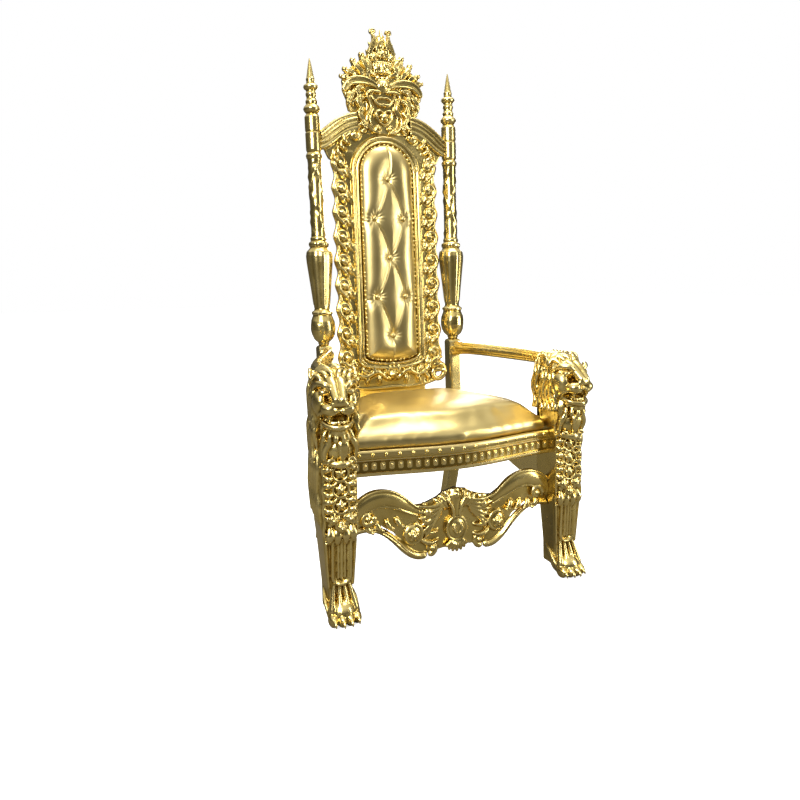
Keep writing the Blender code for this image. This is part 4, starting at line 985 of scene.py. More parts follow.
def dark_behind(obj, test):
    """The faces that the test picks, towards the back of a carving, are coloured with the dark board material.
    """
    obj.data.materials.append(BOARD)
    for face in obj.data.polygons:
        if test(face.center, face.normal):
            face.material_index = 1


# Front stretcher, drawn about its middle height

def add_stretcher_half(bm, side):
    """Tubular scrolls and leaves from the leg to the medallion."""
    def at(x, z, y=0.0):
        return Vector((side * x, y, STRETCHER_MIDDLE + z))

    reach = LEG_X - LEG_FLAT
    tube = curve(
        at(reach, 0.068), at(reach - 0.03, 0.125), at(reach - 0.11, 0.145), at(0.17, 0.085), at(0.118, 0.064),
        steps=28,
    )
    add_stroke(bm, tube, [0.023, 0.027, 0.023, 0.012], 0.62, 18)
    for way in (-1, 1):
        rim = []
        for i, point in enumerate(tube):
            width = 0.022 - 0.012 * max(0, i / 28 - 0.55) / 0.45
            rim.append(point + beside(tube, i) * way * width + Vector((0, -0.0085, 0)))
        add_stroke(bm, rim, [0.0035, 0.0042, 0.0025], 1, 8)
    add_stroke(
        bm, volute((side * (reach - 0.04), STRETCHER_MIDDLE + 0.068), 0.021, 0.0, side * 1.1, y=-0.01),
        [0.008, 0.006], 0.9,
    )
    add_ball(bm, at(reach - 0.04, 0.068, -0.012), (0.008, 0.009, 0.008))

    band = curve(
        at(reach, 0.03), at(0.235, 0.052), at(0.185, 0.01), at(0.16, -0.075), at(0.1, -0.066), steps=28,
    )
    add_stroke(bm, band, [0.009, 0.0095, 0.011, 0.011], 0.8, 12)
    add_lines(bm, band, 0.0075, 1.0, 2, 0.009, 0.0018)
    add_stroke(
        bm, volute((side * 0.08, STRETCHER_MIDDLE - 0.047), 0.019, 0.75, -side * 0.95), [0.0095, 0.0055], 0.9,
    )
    add_ball(bm, at(0.076, -0.047, -0.004), (0.0085, 0.01, 0.0085))

    add_ball(bm, at(0.136, 0.0), (0.03, 0.014, 0.031))
    add_stroke(
        bm, volute((side * 0.136, STRETCHER_MIDDLE), 0.031, 0.2, side * 0.85, y=-0.006, end=0.6),
        [0.0055, 0.0045], 1,
    )
    add_rosette(bm, at(0.136, 0.0, -0.013), 0.016)
    for k in range(4):
        root = at(0.185 + k * 0.03, 0.052 - k * 0.002, -0.004)
        lobe = curve(
            root, root + Vector((-side * 0.004, -0.006, -0.015)),
            root + Vector((-side * 0.018, -0.002, -0.021)), steps=7,
        )
        add_stroke(bm, lobe, [0.0075, 0.0085, 0.004], 0.8, 10)
        add_ball(bm, lobe[-1] + Vector((0, -0.003, 0)), (0.005, 0.006, 0.005), 10, 8)

    add_stroke(
        bm, volute((side * 0.09, STRETCHER_MIDDLE + 0.06), 0.022, 0.3, -side * 0.95, end=0.3),
        [0.0085, 0.006], 0.9,
    )
    add_ball(bm, at(0.09, 0.058, -0.006), (0.013, 0.012, 0.013))
    for k in range(6):
        start = at(0.03 + 0.004 * k, 0.088 - 0.009 * k, -0.004)
        middle = at(0.075 + 0.004 * k, 0.062 - 0.011 * k, -0.012)
        end = at(0.128 - 0.006 * k, 0.083 - 0.02 * k, -0.004)
        add_stroke(bm, curve(start, middle, end, steps=12), [0.004, 0.0062, 0.0035], 1.1, 8)
    for k in range(3):
        leaf = curve(
            at(0.108, 0.04 - 0.03 * k), at(0.09, 0.02 - 0.03 * k, -0.01), at(0.058, 0.03 - 0.028 * k),
            steps=9,
        )
        add_stroke(bm, leaf, [0.0065, 0.0085, 0.004], 0.9, 10)
        add_lines(bm, leaf, 0.005, 1.0, 2, 0.007, 0.0014)
    for k in range(4):
        x = 0.012 + k * 0.0165
        lobe = [at(x * 0.55, 0.062), at(x * 0.85, 0.09 - k * 0.004, -0.004), at(x, 0.111 - k * 0.0075)]
        add_stroke(bm, lobe, [0.006, 0.0088, 0.0075], 0.85, 12)
        add_lines(bm, lobe, 0.006, 1.0, 2, 0.007, 0.0014)


def stretcher():
    """A pierced, carved board between the front legs: a medallion under a shell, and its bare back."""
    reach = LEG_X - LEG_FLAT + 0.01
    bm = bmesh.new()
    centre = Vector((0, -0.003, STRETCHER_MIDDLE))
    for side in (-1, 1):
        add_stretcher_half(bm, side)
        for line, steps, widths in (
            (
                ((0.012, -0.008, 0.03), (0.006, -0.01, 0.062), (0.03, -0.008, 0.088)), 10,
                [0.004, 0.005, 0.004],
            ),
            (
                ((0.011, -0.015, 0.013), (0.017, -0.017, 0.002), (0.004, -0.017, -0.012)), 8,
                [0.003, 0.0042, 0.0025],
            ),
        ):
            places = [centre + Vector((side * x, y, z)) for x, y, z in line]
            add_stroke(bm, curve(*places, steps=steps), widths, 1, 8)
    add_ball(bm, centre, (0.032, 0.0165, 0.036), 28, 18)
    add_stroke(bm, oval(centre, 0.031, 0.035, -0.007, 32), [0.0042, 0.0042], 1, 10)
    add_stroke(
        bm,
        [
            centre + Vector((0, -0.002, 0.03)), centre + Vector((0, -0.003, 0.06)),
            centre + Vector((0, 0, 0.098)),
        ],
        [0.014, 0.011, 0.024], 0.6,
    )
    add_ball(bm, centre + Vector((0, -0.009, 0.098)), (0.009, 0.008, 0.011))
    for k in range(7):
        angle = math.pi * (1.14 + 0.12 * k)
        tip = Vector((0.036 * math.cos(angle), -0.006, 0.03 * math.sin(angle) - 0.036))
        petal = [
            centre + Vector((0, 0, -0.028)), centre + Vector((tip.x * 0.6, -0.009, (tip.z - 0.028) / 2)),
            centre + tip,
        ]
        add_stroke(bm, petal, [0.004, 0.0068, 0.0048], 0.9, 10)
    half = STRETCHER_THICKNESS / 2
    edge = [
        (0, 0.118), (0.022, 0.112), (0.036, 0.11), (0.056, 0.097), (0.1, 0.082), (0.125, 0.082),
        (0.16, 0.104),
    ]
    edge += [
        (0.2, 0.124), (0.25, 0.127), (reach, 0.108), (reach, 0.028), (0.24, 0.045), (0.19, 0.012),
        (0.15, -0.045),
    ]
    edge += [(0.11, -0.065), (0.07, -0.058), (0.03, -0.055), (0, -0.06)]
    for side in (-1, 1):
        add_slab(bm, [(side * x, STRETCHER_MIDDLE + z) for x, z in edge], 0, half)
    board = carve("front_stretcher_carved", bm, 0.0017, STRETCHER_TRIANGLES)
    flatten(board, lambda p: p.y > half, 1, half)
    flatten(board, lambda p: p.x > RAIL_REACH, 0, RAIL_REACH)
    flatten(board, lambda p: p.x < -RAIL_REACH, 0, -RAIL_REACH)
    finish_piece(board, GOLD, "carved_gold", "front_stretcher")
    dark_behind(board, lambda centre, normal: centre.y > 0.0015)
    board.data.transform(Matrix.Translation((0, FRONT, 0)))


# Back frame, in its own upright plane before it is raked

def arch(half_width, top, bottom, sag=0.0, steps=32, foot=24):
    """A closed outline: straight sides under a round head, and a foot that sags in the middle."""
    spring = top - half_width
    found = [
        (
            half_width * math.cos(a), spring + half_width * math.sin(a),
        ) for a in (math.pi * k / steps for k in range(steps + 1))
    ]
    found += [(-half_width, spring + (bottom - spring) * k / foot) for k in range(1, foot)]
    found += [
        (
            -half_width + 2 * half_width * k / foot, bottom - sag * math.sin(math.pi * k / foot) ** 0.45,
        ) for k in range(foot + 1)
    ]
    found += [(half_width, bottom + (spring - bottom) * k / foot) for k in range(1, foot)]
    return found


def add_ring(bm, outline, width, y, rise):
    """A closed round moulding along an outline, standing proud of the front."""
    points = [Vector((x, y, z)) for x, z in outline]
    count = len(points)
    rings = []
    for i, point in enumerate(points):
        ahead = (points[(i + 1) % count] - points[i - 1]).normalized()
        across = Vector((-ahead.z, 0, ahead.x))
        turn = (2 * math.pi * s / 12 for s in range(12))
        rings.append(
            [point + across * width * math.cos(t) + Vector((0, rise * math.sin(t), 0)) for t in turn]
        )
    skin(bm, rings, loop=True)


def add_flat_ring(bm, inside, outside, front, back):
    """A flat board between two outlines of equally many points."""
    rings = [
        [Vector((x, front, z)), Vector((u, front, w)), Vector((u, back, w)), Vector((x, back, z))]
        for (x, z), (u, w) in zip(inside, outside)
    ]
    skin(bm, rings, loop=True)


def add_border(bm, side):
    """Running scrolls with a flower in each and leaves between, inside a scalloped rim."""
    count = 9
    body, outer = OPENING_WIDTH / 2 + MOULDING_WIDTH, FRAME_WIDTH / 2
    low, high = APRON_BOTTOM + 0.115, RAIL_END - 0.065
    pitch = (high - low) / (count - 1)
    middle = (body + outer) / 2

    def rim_at(z):
        return outer - 0.006 - 0.011 * abs(math.sin(math.pi * (z - low) / pitch)) ** 1.5

    steps = count * 8
    rim = [
        Vector((side * rim_at(z), -0.001, z)) for z in (
            low - pitch / 2 + (high - low + pitch) * k / steps for k in range(steps + 1)
        )
    ]
    add_stroke(bm, rim, [0.0062, 0.0062], 1.2, 10)
    add_slab(
        bm,
        [(side * (body - 0.01), rim[0].z)] + [(p.x, p.z) for p in rim] + [(side * (body - 0.01), rim[-1].z)],
        -0.004, FRAME_THICKNESS / 2,
    )
    for k in range(count):
        z = low + pitch * k
        spiral = [
            Vector(
                (
                    side * (middle + 0.002 + 0.0255 * (1 - 0.66 * t) * math.cos(a)), -0.004 - 0.003 * t,
                    z + 0.0285 * (1 - 0.66 * t) * math.sin(a),
                )
            )
            for t, a in ((j / 26, math.pi * (-0.85 + 2.35 * j / 26)) for j in range(27))
        ]
        add_stroke(bm, spiral, [0.0062, 0.0078, 0.007, 0.0048], 1.1, 12)
        tail = through(
            Vector((side * (body + 0.001), -0.003, z - pitch * 0.62)),
            Vector((side * (body + 0.006), -0.006, z - pitch * 0.38)),
            spiral[0],
        )
        add_stroke(bm, tail, [0.003, 0.0062, 0.0062], 1.1, 10)
        add_rosette(bm, (side * (middle + 0.001), -0.009, z), 0.0105)
        for j, (across, lift) in enumerate(((0.016, -0.4), (0.034, -0.52), (0.05, -0.42))):
            root = Vector((side * (body + across * 0.7), -0.002, z + pitch * (lift - 0.13)))
            tip = Vector((side * (body + across * 1.12), -0.004, z + pitch * (lift + 0.2)))
            leaf = curve(
                root, root.lerp(tip, 0.5) + Vector((side * 0.012 * (1 - j), -0.009, 0)), tip, steps=8,
            )
            add_stroke(bm, leaf, [0.004, 0.0066, 0.0035], 1.0, 10)
            add_lines(bm, leaf, 0.004, 1.0, 2, 0.0065, 0.0013)


def add_top_rail(bm, side):
    """Half of the S-curved rail between an upright and the crest, with the scroll and leaf under it."""
    post = upright_axis(side, RAIL_END).x
    steps = 30
    rail = curve(
        Vector((post, 0, RAIL_END)), Vector((side * 0.206, 0, RAIL_END - 0.012)),
        Vector((side * 0.174, 0, RAIL_END + 0.07)),
        Vector((side * 0.085, 0, RAIL_END + 0.076)), steps=steps,
    )
    add_stroke(bm, rail, [0.026, 0.028, 0.03, 0.032], 0.42, 16)
    for offset, width, y in (
        (0.021, 0.0085, -0.006), (0.009, 0.003, -0.012), (-0.004, 0.003, -0.012), (-0.019, 0.0075, -0.006),
    ):
        line = []
        for i, point in enumerate(rail):
            across = beside(rail, i) * -side * offset * (1 + 0.15 * i / steps)
            line.append(point + across + Vector((0, y, 0)))
        add_stroke(bm, line, [width, width], 1.0, 12)
    seat_edge = CREST_SEAT_WIDTH / 2 + 0.002
    plate = [(0.198, RAIL_END - 0.05), (0.16, RAIL_END - 0.07), (0, RAIL_END - 0.01)]
    plate += [(0, CREST_FOOT + 0.006), (seat_edge, CREST_FOOT + 0.006), (seat_edge, RAIL_END + 0.075)]
    plate = [(side * x, z) for x, z in plate] + [(rail[k].x, rail[k].z) for k in (24, 12, 6)]
    add_slab(bm, plate, -0.003, FRAME_THICKNESS / 2)
    low = Vector((side * 0.186, 0, RAIL_END - 0.07))
    rim = curve(
        low, Vector((side * 0.165, -0.006, RAIL_END + 0.025)),
        Vector((side * 0.105, -0.006, RAIL_END + 0.06)), Vector((side * 0.082, -0.004, RAIL_END + 0.045)),
        steps=16,
    )
    add_stroke(bm, rim, [0.005, 0.006, 0.005], 1.1, 10)
    add_stroke(
        bm, volute((side * 0.108, RAIL_END + 0.032), 0.021, 0.25, side * 0.95, y=-0.006), [0.0068, 0.0045],
        1.1,
    )
    add_ball(bm, Vector((side * 0.108, -0.008, RAIL_END + 0.032)), (0.008, 0.009, 0.008), 14, 10)
    for k in range(4):
        root = Vector((side * (0.128 + 0.012 * k), -0.003, RAIL_END - 0.02 * k))
        tip = root + Vector((side * 0.018, -0.002, 0.03 - 0.004 * k))
        lobe = curve(root, root + Vector((side * 0.022, -0.013, 0.004)), tip, steps=8)
        add_stroke(bm, lobe, [0.006, 0.0085, 0.005], 0.9, 10)
        add_lines(bm, lobe, 0.005, 1.0, 2, 0.008, 0.0014)


def add_apron_half(bm, side):
    """Broad acanthus leaves and an ear scroll below the opening."""
    base, outer = APRON_BOTTOM, FRAME_WIDTH / 2
    add_slab(
        bm,
        [
            (0, base + 0.004), (side * (outer - 0.03), base + 0.015), (side * (outer - 0.014), base + 0.07),
            (side * 0.16, base + 0.12), (0, base + 0.11),
        ],
        0.0, FRAME_THICKNESS / 2,
    )
    ear = volute((side * (outer - 0.024), base + 0.046), 0.034, 0.25, side * -1.15, steps=30, y=-0.005)
    add_stroke(bm, ear, [0.0105, 0.0095, 0.0065], 0.95, 14)
    for k in range(3):
        root = Vector((side * (outer - 0.05 + 0.008 * k), -0.004, base + 0.075 - 0.012 * k))
        tip = root + Vector((side * 0.042, -0.002, 0.024 - 0.014 * k))
        add_plume(
            bm, curve(root, root.lerp(tip, 0.5) + Vector((0, -0.008, 0.012)), tip, steps=9),
            [0.006, 0.0078, 0.005],
        )
    scroll = through(
        Vector((side * 0.02, -0.005, base + 0.035)), Vector((side * 0.055, -0.008, base + 0.06)),
        Vector((side * 0.1, -0.008, base + 0.045)), Vector((side * 0.135, -0.006, base + 0.062)),
    )
    add_stroke(bm, scroll, [0.0068, 0.0085, 0.0075, 0.0068], 1.0, 12)
    for x, lift, lean in (
        (0.032, 1, -0.012), (0.062, 1, 0.006), (0.092, 1, 0.014), (0.118, 1, 0.02), (0.05, -1, 0.0),
        (0.085, -1, 0.01), (0.12, -1, 0.014),
    ):
        root = Vector((side * x, -0.003, base + 0.05))
        tip = root + Vector((side * lean, -0.002, 0.028 * lift if lift > 0 else -0.026))
        lobe = curve(root, root.lerp(tip, 0.6) + Vector((side * lean * 0.8, -0.008, 0)), tip, steps=8)
        add_plume(bm, lobe, [0.0065, 0.0082, 0.0048])
    edge = curve(
        Vector((0, -0.002, base + 0.006)), Vector((side * 0.1, -0.002, base - 0.002)),
        Vector((side * (outer - 0.03), 0, base + 0.02)),
    )
    add_stroke(bm, edge, [0.0075, 0.0072, 0.006], 0.95)


def back_frame():
    """The arched board with its mouldings, scroll borders, spandrels, S-curved top rail and apron."""
    half = OPENING_WIDTH / 2
    body = half + MOULDING_WIDTH
    depth = FRAME_THICKNESS / 2
    bm = bmesh.new()
    inside = arch(half, ARCH_TOP, OPENING_BOTTOM, OPENING_SAG)
    outside = arch(body, ARCH_TOP + MOULDING_WIDTH, SEAT_TOP + 0.004)
    add_flat_ring(bm, inside, outside, -depth * 0.5, depth)
    for grow, width, rise in ((0.0045, 0.0042, 0.0075), (0.0125, 0.003, 0.005), (0.0205, 0.0052, 0.0085)):
        line = arch(half + grow, ARCH_TOP + grow, OPENING_BOTTOM - grow, OPENING_SAG)
        add_ring(bm, line, width, -depth * 0.55, rise)
    for side in (-1, 1):
        add_border(bm, side)
        add_top_rail(bm, side)
        add_apron_half(bm, side)
    centre = Vector((0, -depth * 0.6, APRON_BOTTOM + 0.05))
    add_rosette(bm, centre, 0.022)
    for k in range(5):
        angle = math.pi * (0.2 + 0.15 * k)
        tip = centre + Vector((0.036 * math.cos(angle), 0, 0.04 * math.sin(angle)))
        add_stroke(bm, [centre, tip], [0.005, 0.0075], 0.9, 10)
    made = carve("back_frame_carved", bm, 0.0024, FRAME_TRIANGLES)
    flatten(made, lambda p: p.y > depth, 1, depth)
    foot = SEAT_TOP + CLEARANCE + depth * math.sin(BACK_RAKE)
    flatten(made, lambda p: p.z < foot, 2, foot)
    flatten(made, lambda p: abs(p.x) < CREST_SEAT_WIDTH / 2 and p.z > CREST_FOOT, 2, CREST_FOOT)
    for side in (-1, 1):
        end = side * (abs(upright_axis(side, RAIL_END).x) - 0.0235)
        flatten(made, lambda p: p.x * side > abs(end), 0, end)
    finish_piece(made, GOLD, "carved_gold", "back_frame")
    dark_behind(made, lambda centre, normal: centre.y > depth * 0.55)
    made.data.transform(BACK_PLANE)


# Crest

def crest_point(x, z, y=0.0):
    """A place on the crest in centimetres of its design, 30 wide and 35.4 high."""
    top = SEAT_TOP + (OVERALL_HEIGHT - SEAT_TOP) / math.cos(BACK_RAKE)
    return Vector((x * CREST_WIDTH / 30, y, CREST_FOOT + z * (top - CREST_FOOT) / 35.4))


def crest_half(side):
    """Places on one half of the crest, with x outward."""
    return lambda x, z, y=0.0: crest_point(side * x, z, y)


def crest_slab(bm, outline, front):
    places = [crest_point(x, z) for x, z in outline]
    add_slab(bm, [(p.x, p.z) for p in places], front, CREST_THICKNESS / 2)


def add_crest_tower(bm, side):
    """Half of the bowl of flowers and the twin-curled leaves over it."""
    at = crest_half(side)
    leaf = through(at(4.6, 24.4), at(4.0, 27.4, -0.004), at(2.7, 30.6, -0.005), at(2.8, 33.4, -0.002))
    add_stroke(bm, leaf, [0.0095, 0.0105, 0.0085, 0.0065], 0.85, 14)
    add_lines(bm, leaf, 0.011, 1.2, 4, 0.0092, 0.0015)
    tip = at(3.05, 34.0)
    add_stroke(
        bm, volute((tip.x, tip.z), 0.0105, 0.5 if side > 0 else 0.0, -side * 1.0), [0.005, 0.0038], 1.5, 12,
    )
    add_ball(bm, tip + Vector((0, -0.006, 0)), (0.0036, 0.0045, 0.0036), 12, 8)
    inner = through(
        at(1.9, 25.4, -0.006), at(1.8, 28.0, -0.012), at(1.2, 30.4, -0.011), at(0.9, 32.0, -0.004),
    )
    add_stroke(bm, inner, [0.0065, 0.0088, 0.007, 0.003], 0.95, 12)
    add_lines(bm, inner, 0.007, 1.1, 3, 0.008, 0.0014)
    for x, z in ((4.3, 30.0), (5.3, 27.2)):
        add_stroke(
            bm, [at(x - 1.6, z - 1.4), at(x - 0.4, z - 0.4), at(x, z + 0.5)], [0.0065, 0.006, 0.0032], 0.9,
            10,
        )
    lobe = through(at(2.6, 19.4, -0.004), at(4.8, 20.6, -0.009), at(4.6, 23.0, -0.008), at(6.2, 25.0, -0.003))
    add_plume(bm, lobe, [0.007, 0.0095, 0.009, 0.006])
    add_rosette(bm, at(3.0, 25.4, -0.012), 0.0135)
    for places, width in (
        (((5.6, 17.6), (5.2, 20.6), (6.8, 23.4), (7.3, 25.8)), 0.0095),
        (((7.0, 17.8), (7.6, 20.0), (9.6, 21.8), (10.4, 23.6)), 0.0095),
        (((9.2, 17.8), (10.6, 19.4), (12.2, 19.8), (13.3, 20.6)), 0.0088),
        (((11.4, 17.0), (12.8, 18.0), (13.8, 17.8), (14.6, 18.2)), 0.0075),
    ):
        points = [at(x, z, -0.006 if 0 < i < 3 else 0.0) for i, (x, z) in enumerate(places)]
        add_plume(bm, through(*points), [width, width * 1.25, width * 1.2, width * 0.9])
    for k in range(4):
        x = 0.55 + 0.85 * k
        add_stroke(
            bm, [at(x * 0.85, 20.3, -0.017 + 0.003 * k), at(x, 23.0, -0.019 + 0.003 * k)], [0.004, 0.0046], 1,
            8,
        )


def add_crest_wing(bm, side):
    """Half of the broad ridged scrolls and the curling leaves that fall from them to the top rail."""
    at = crest_half(side)
    line = ((2.2, 15.8), (5.2, 16.9), (8.6, 17.2), (11.8, 16.4), (13.7, 14.2), (13.3, 12.2))
    scroll = through(*(at(x, z, -0.004) for x, z in line))
    add_stroke(bm, scroll, [0.0085, 0.0135, 0.0145, 0.0125, 0.0085, 0.007], 0.8, 18)
    for lift, size in ((0.0105, 0.0042), (0.0035, 0.0026), (-0.0035, 0.0026), (-0.0105, 0.004)):
        ridge = []
        for i, point in enumerate(scroll[:-4]):
            taper = math.sin(math.pi * (0.14 + 0.72 * i / (len(scroll) - 5)))
            ridge.append(point + beside(scroll, i) * side * lift * taper + Vector((0, -0.0095, 0)))
        add_stroke(bm, ridge, [size * 0.6, size, size * 0.8], 1, 8)
    curl = at(12.3, 12.6)
    add_stroke(
        bm, volute((curl.x, curl.z), 0.0125, 0.0 if side > 0 else 0.5, -side * 1.05, y=-0.006),
        [0.0064, 0.0045], 1.4, 12,
    )
    add_ball(bm, curl + Vector((0, -0.01, 0)), (0.0052, 0.0062, 0.0052), 14, 10)
    for places, width in (
        (((6.8, 15.2), (9.4, 14.2), (9.0, 11.6), (11.3, 9.8)), 0.0095),
        (((10.2, 14.6), (11.2, 12.2), (12.6, 9.8), (12.2, 7.4)), 0.0082),
        (((6.9, 11.8), (9.0, 10.2), (8.2, 7.6), (10.6, 6.0)), 0.0095),
        (((7.0, 7.8), (8.6, 6.0), (7.6, 3.6), (9.6, 2.2)), 0.0088),
        (((6.6, 4.2), (7.4, 2.8), (6.9, 1.6), (8.0, 0.6)), 0.007),
    ):
        points = [at(x, z, -0.009 if 0 < i < 3 else -0.002) for i, (x, z) in enumerate(places)]
        leaf = through(*points)
        add_plume(bm, leaf, [width, width * 1.25, width * 1.1, width * 0.65])
        end = leaf[-1]
        add_stroke(
            bm, volute((end.x - side * 0.006, end.z + 0.001), 0.0075, 0.75, side * 0.8, y=-0.007),
            [0.0038, 0.0028], 1.2, 8,
        )


def add_cartouche(bm, side):
    """Half of the shield with its rolled double edge, foot scrolls and leaf band."""
    at = crest_half(side)
    line = (
        (1.4, 13.9), (4.6, 14.0), (6.0, 12.8), (5.0, 10.2), (4.7, 8.4), (6.2, 5.6), (6.1, 3.0), (4.4, 1.0),
        (2.6, 0.4),
    )
    edge = through(*(at(x, z, -0.008) for x, z in line))
    add_stroke(bm, edge, [0.006, 0.0068, 0.0066, 0.0068, 0.006], 1.5, 12)
    inner = through(*(at(x * 0.8, z * 0.93 + 0.5, -0.01) for x, z in line[1:-1]))
    add_stroke(bm, inner, [0.0022, 0.0026], 1.2, 8)
    foot = at(2.05, 1.7, -0.008)
    add_stroke(bm, volute((foot.x, foot.z), 0.0135, 0.75, side * 1.1, y=-0.011), [0.0052, 0.0036], 1.3, 10)
    add_ball(bm, foot + Vector((0, -0.008, 0)), (0.0046, 0.0055, 0.0046), 12, 8)
    for lift in (1, -1):
        lid = curve(
            at(3.2, 10.9, -0.011), at(1.6, 10.9 + 1.6 * lift, -0.014), at(0, 10.9 + 1.0 * lift, -0.014),
            steps=10,
        )
        add_stroke(bm, lid, [0.002, 0.003, 0.0026], 1, 8)
    drape = curve(at(4.2, 12.6, -0.01), at(2.6, 8.9, -0.014), at(0, 9.4, -0.013), steps=10)
    add_stroke(bm, drape, [0.003, 0.0048, 0.0035], 1, 8)
    heart = curve(
        at(0, 3.0, -0.011), at(4.4, 4.8, -0.014), at(3.2, 9.4, -0.013), at(0.3, 7.2, -0.011), steps=14,
    )
    add_stroke(bm, heart, [0.0032, 0.0056, 0.0032], 1, 8)


def crest():
    """The carved crest: a shield, broad scrolls, a bowl of flowers and a plume with two curled tips."""
    bm = bmesh.new()
    shield = [
        (0.4, -0.6), (5, -0.6), (7, 4), (5.8, 9), (6.4, 14), (5, 17), (4.6, 21), (4.6, 24), (3.2, 27),
        (2.0, 30), (1.2, 33),
    ]
    crest_slab(bm, shield + [(-x, z) for x, z in reversed(shield)], -0.006)
    wings = [
        (4, 16), (5.6, 21), (7.4, 24.4), (10.4, 22.2), (13.2, 19.6), (14.2, 17.0), (13.6, 13), (12, 9),
        (11, 6), (9.4, -0.6), (4, -0.6),
    ]
    for side in (-1, 1):
        crest_slab(bm, [(side * x, z) for x, z in wings], -0.004)
        add_crest_tower(bm, side)
        add_crest_wing(bm, side)
        add_cartouche(bm, side)
    add_stroke(
        bm,
        [
            crest_point(0, 26, -0.004), crest_point(0, 29, -0.01), crest_point(0, 32, -0.006),
            crest_point(0, 35.2),
        ],
        [0.005, 0.0105, 0.0085, 0.002], 0.9, 12,
    )
    add_ball(bm, crest_point(0, 30.6, -0.008), (0.0085, 0.009, 0.011))
    add_ball(bm, crest_point(0, 21.8, -0.004), (0.036, 0.017, 0.0185), 28, 16)
    for z, half_width in ((23.6, 3.9), (20.2, 2.9)):
        band = [
            crest_point(-half_width, z + 0.4, -0.006), crest_point(0, z - 0.3, -0.018),
            crest_point(half_width, z + 0.4, -0.006),
        ]
        add_stroke(bm, curve(*band, steps=12), [0.0036, 0.0048, 0.0036], 1, 8)
    add_rosette(bm, crest_point(0, 26.6, -0.012), 0.0165)
    for x in (-1.7, 0, 1.7):
        add_rosette(bm, crest_point(x, 18.7, -0.01), 0.0085)
    boss = crest_point(0, 16, -0.008)
    add_ball(bm, boss, (0.025, 0.0135, 0.0205), 28, 16)
    add_stroke(bm, oval(boss, 0.024, 0.02, -0.004), [0.0034, 0.0034], 1, 8)
    for x in (-0.011, 0, 0.011):
        add_ball(bm, boss + Vector((x, -0.0125, 0)), (0.0034, 0.0034, 0.0048), 10, 8)
    add_rosette(bm, crest_point(0, 5.6, -0.014), 0.0165)
    made = carve("crest_carved", bm, 0.0016, CREST_TRIANGLES)
    half = CREST_THICKNESS / 2
    flatten(made, lambda p: p.y > half, 1, half)
    foot = CREST_FOOT + CLEARANCE
    flatten(made, lambda p: p.z < foot, 2, foot)
    flatten(
        made, lambda p: abs(p.x) > CREST_SEAT_WIDTH / 2 and foot + 0.001 < p.z < CREST_SHOULDER,
        2, CREST_SHOULDER,
    )
    finish_piece(made, GOLD, "carved_gold", "crest")
    # The crest's back and the rear of its side edges are coloured dark.
    dark_behind(made, lambda centre, normal: centre.y > half * 0.45)
    made.data.transform(BACK_PLANE)


# Upholstery of the back

def button_places():
    """The buttons in a diamond pattern: one, two, one, two, one."""
    for row, z in enumerate(BUTTON_TOP - BUTTON_PITCH * k for k in range(5)):
        for x in ((-BUTTON_SPREAD / 2, BUTTON_SPREAD / 2) if row % 2 else (0.0,)):
            yield Vector((x, z))


def creases():
    """Seams of the tufting with their depths: bold folds that fall to the right, faint ones to the left."""
    places = list(button_places())
    bold, faint = 0.0056, 0.002
    found = [(Vector((0.004, ARCH_TOP - 0.012)), places[0], bold)]
    for i, a in enumerate(places):
        for b in places[i + 1:]:
            if 0.05 < a.y - b.y < BUTTON_PITCH * 1.1 and 0 < abs(a.x - b.x) < BUTTON_SPREAD * 0.75:
                found.append((a, b, bold if b.x > a.x else faint))
    for place in places:
        if place.x:
            edge = math.copysign(OPENING_WIDTH / 2 - 0.008, place.x)
            found.append((place, Vector((edge, place.y - 0.01)), faint))
    found.append((places[-1], Vector((0, OPENING_BOTTOM - OPENING_SAG + 0.012)), faint))
    return found


def distance_to_run(point, start, end):
    """How far a point is from a seam, which swings a little to one side between its ends."""
    run = end - start
    share = max(0.0, min(1.0, (point - start).dot(run) / run.length_squared))
    swing = 0.006 * math.sin(math.pi * share)
    across = Vector((-run.y, run.x)).normalized()
    return (point - start - run * share - across * swing).length


def back_pad():
    """The buttoned leatherette back, swelling between its tufts."""
    rear = FRAME_THICKNESS / 2 - 0.008 - CLEARANCE
    half = OPENING_WIDTH / 2 - 0.002
    top, bottom = ARCH_TOP - 0.002, OPENING_BOTTOM + 0.002
    outline = arch(half, top, bottom, OPENING_SAG)
    bm = bmesh.new()
    add_slab(bm, outline, -0.002, rear)
    pad = make_object("back_pad_buttoned", bm)
    fuse(pad, 0.0021)
    applied(pad)
    seams = creases()
    places = list(button_places())
    spring = top - half
    for vert in pad.data.vertices:
        x, y, z = vert.co
        if y > rear - 0.004:
            continue
        foot = bottom - OPENING_SAG * math.cos(math.pi * min(1, abs(x) / half) / 2) ** 0.45
        edge = half - math.hypot(x, max(0.0, z - spring))
        edge = max(0.0, min(edge, z - foot))
        round_over = math.sqrt(max(0.0, 1 - (1 - min(1, edge / 0.058)) ** 2))
        here = Vector((x, z))
        fold = valley = 0.0
        for a, b, depth in seams:
            gap = distance_to_run(here, a, b)
            fold = max(fold, depth * math.exp(-(gap / 0.003) ** 2))
            valley = max(valley, 0.0036 * math.exp(-(gap / 0.024) ** 2))
        tuft, k = min(((here - place).length, i) for i, place in enumerate(places))
        pit = math.exp(-(tuft / 0.017) ** 1.4)
        dip = (HOLLOW_DEPTH + 0.0005) * pit + (1 - pit) * (fold + valley)
        angle = math.atan2(z - places[k].y, x - places[k].x)
        pucker = 0.0006 * math.sin(13 * angle + k) * math.exp(-((tuft - 0.018) / 0.012) ** 2)
        rise = round_over * (PAD_EDGE + PAD_BULGE - dip + pucker)
        share = 1 - (y + 0.002) / (rear + 0.002)
        vert.co.y = y - rise * max(0.0, min(1.0, share))
    thin_to(pad, PAD_TRIANGLES)
    finish_piece(pad, LEATHER, "gold_leather", "back_pad")
    pad.data.transform(BACK_PLANE)


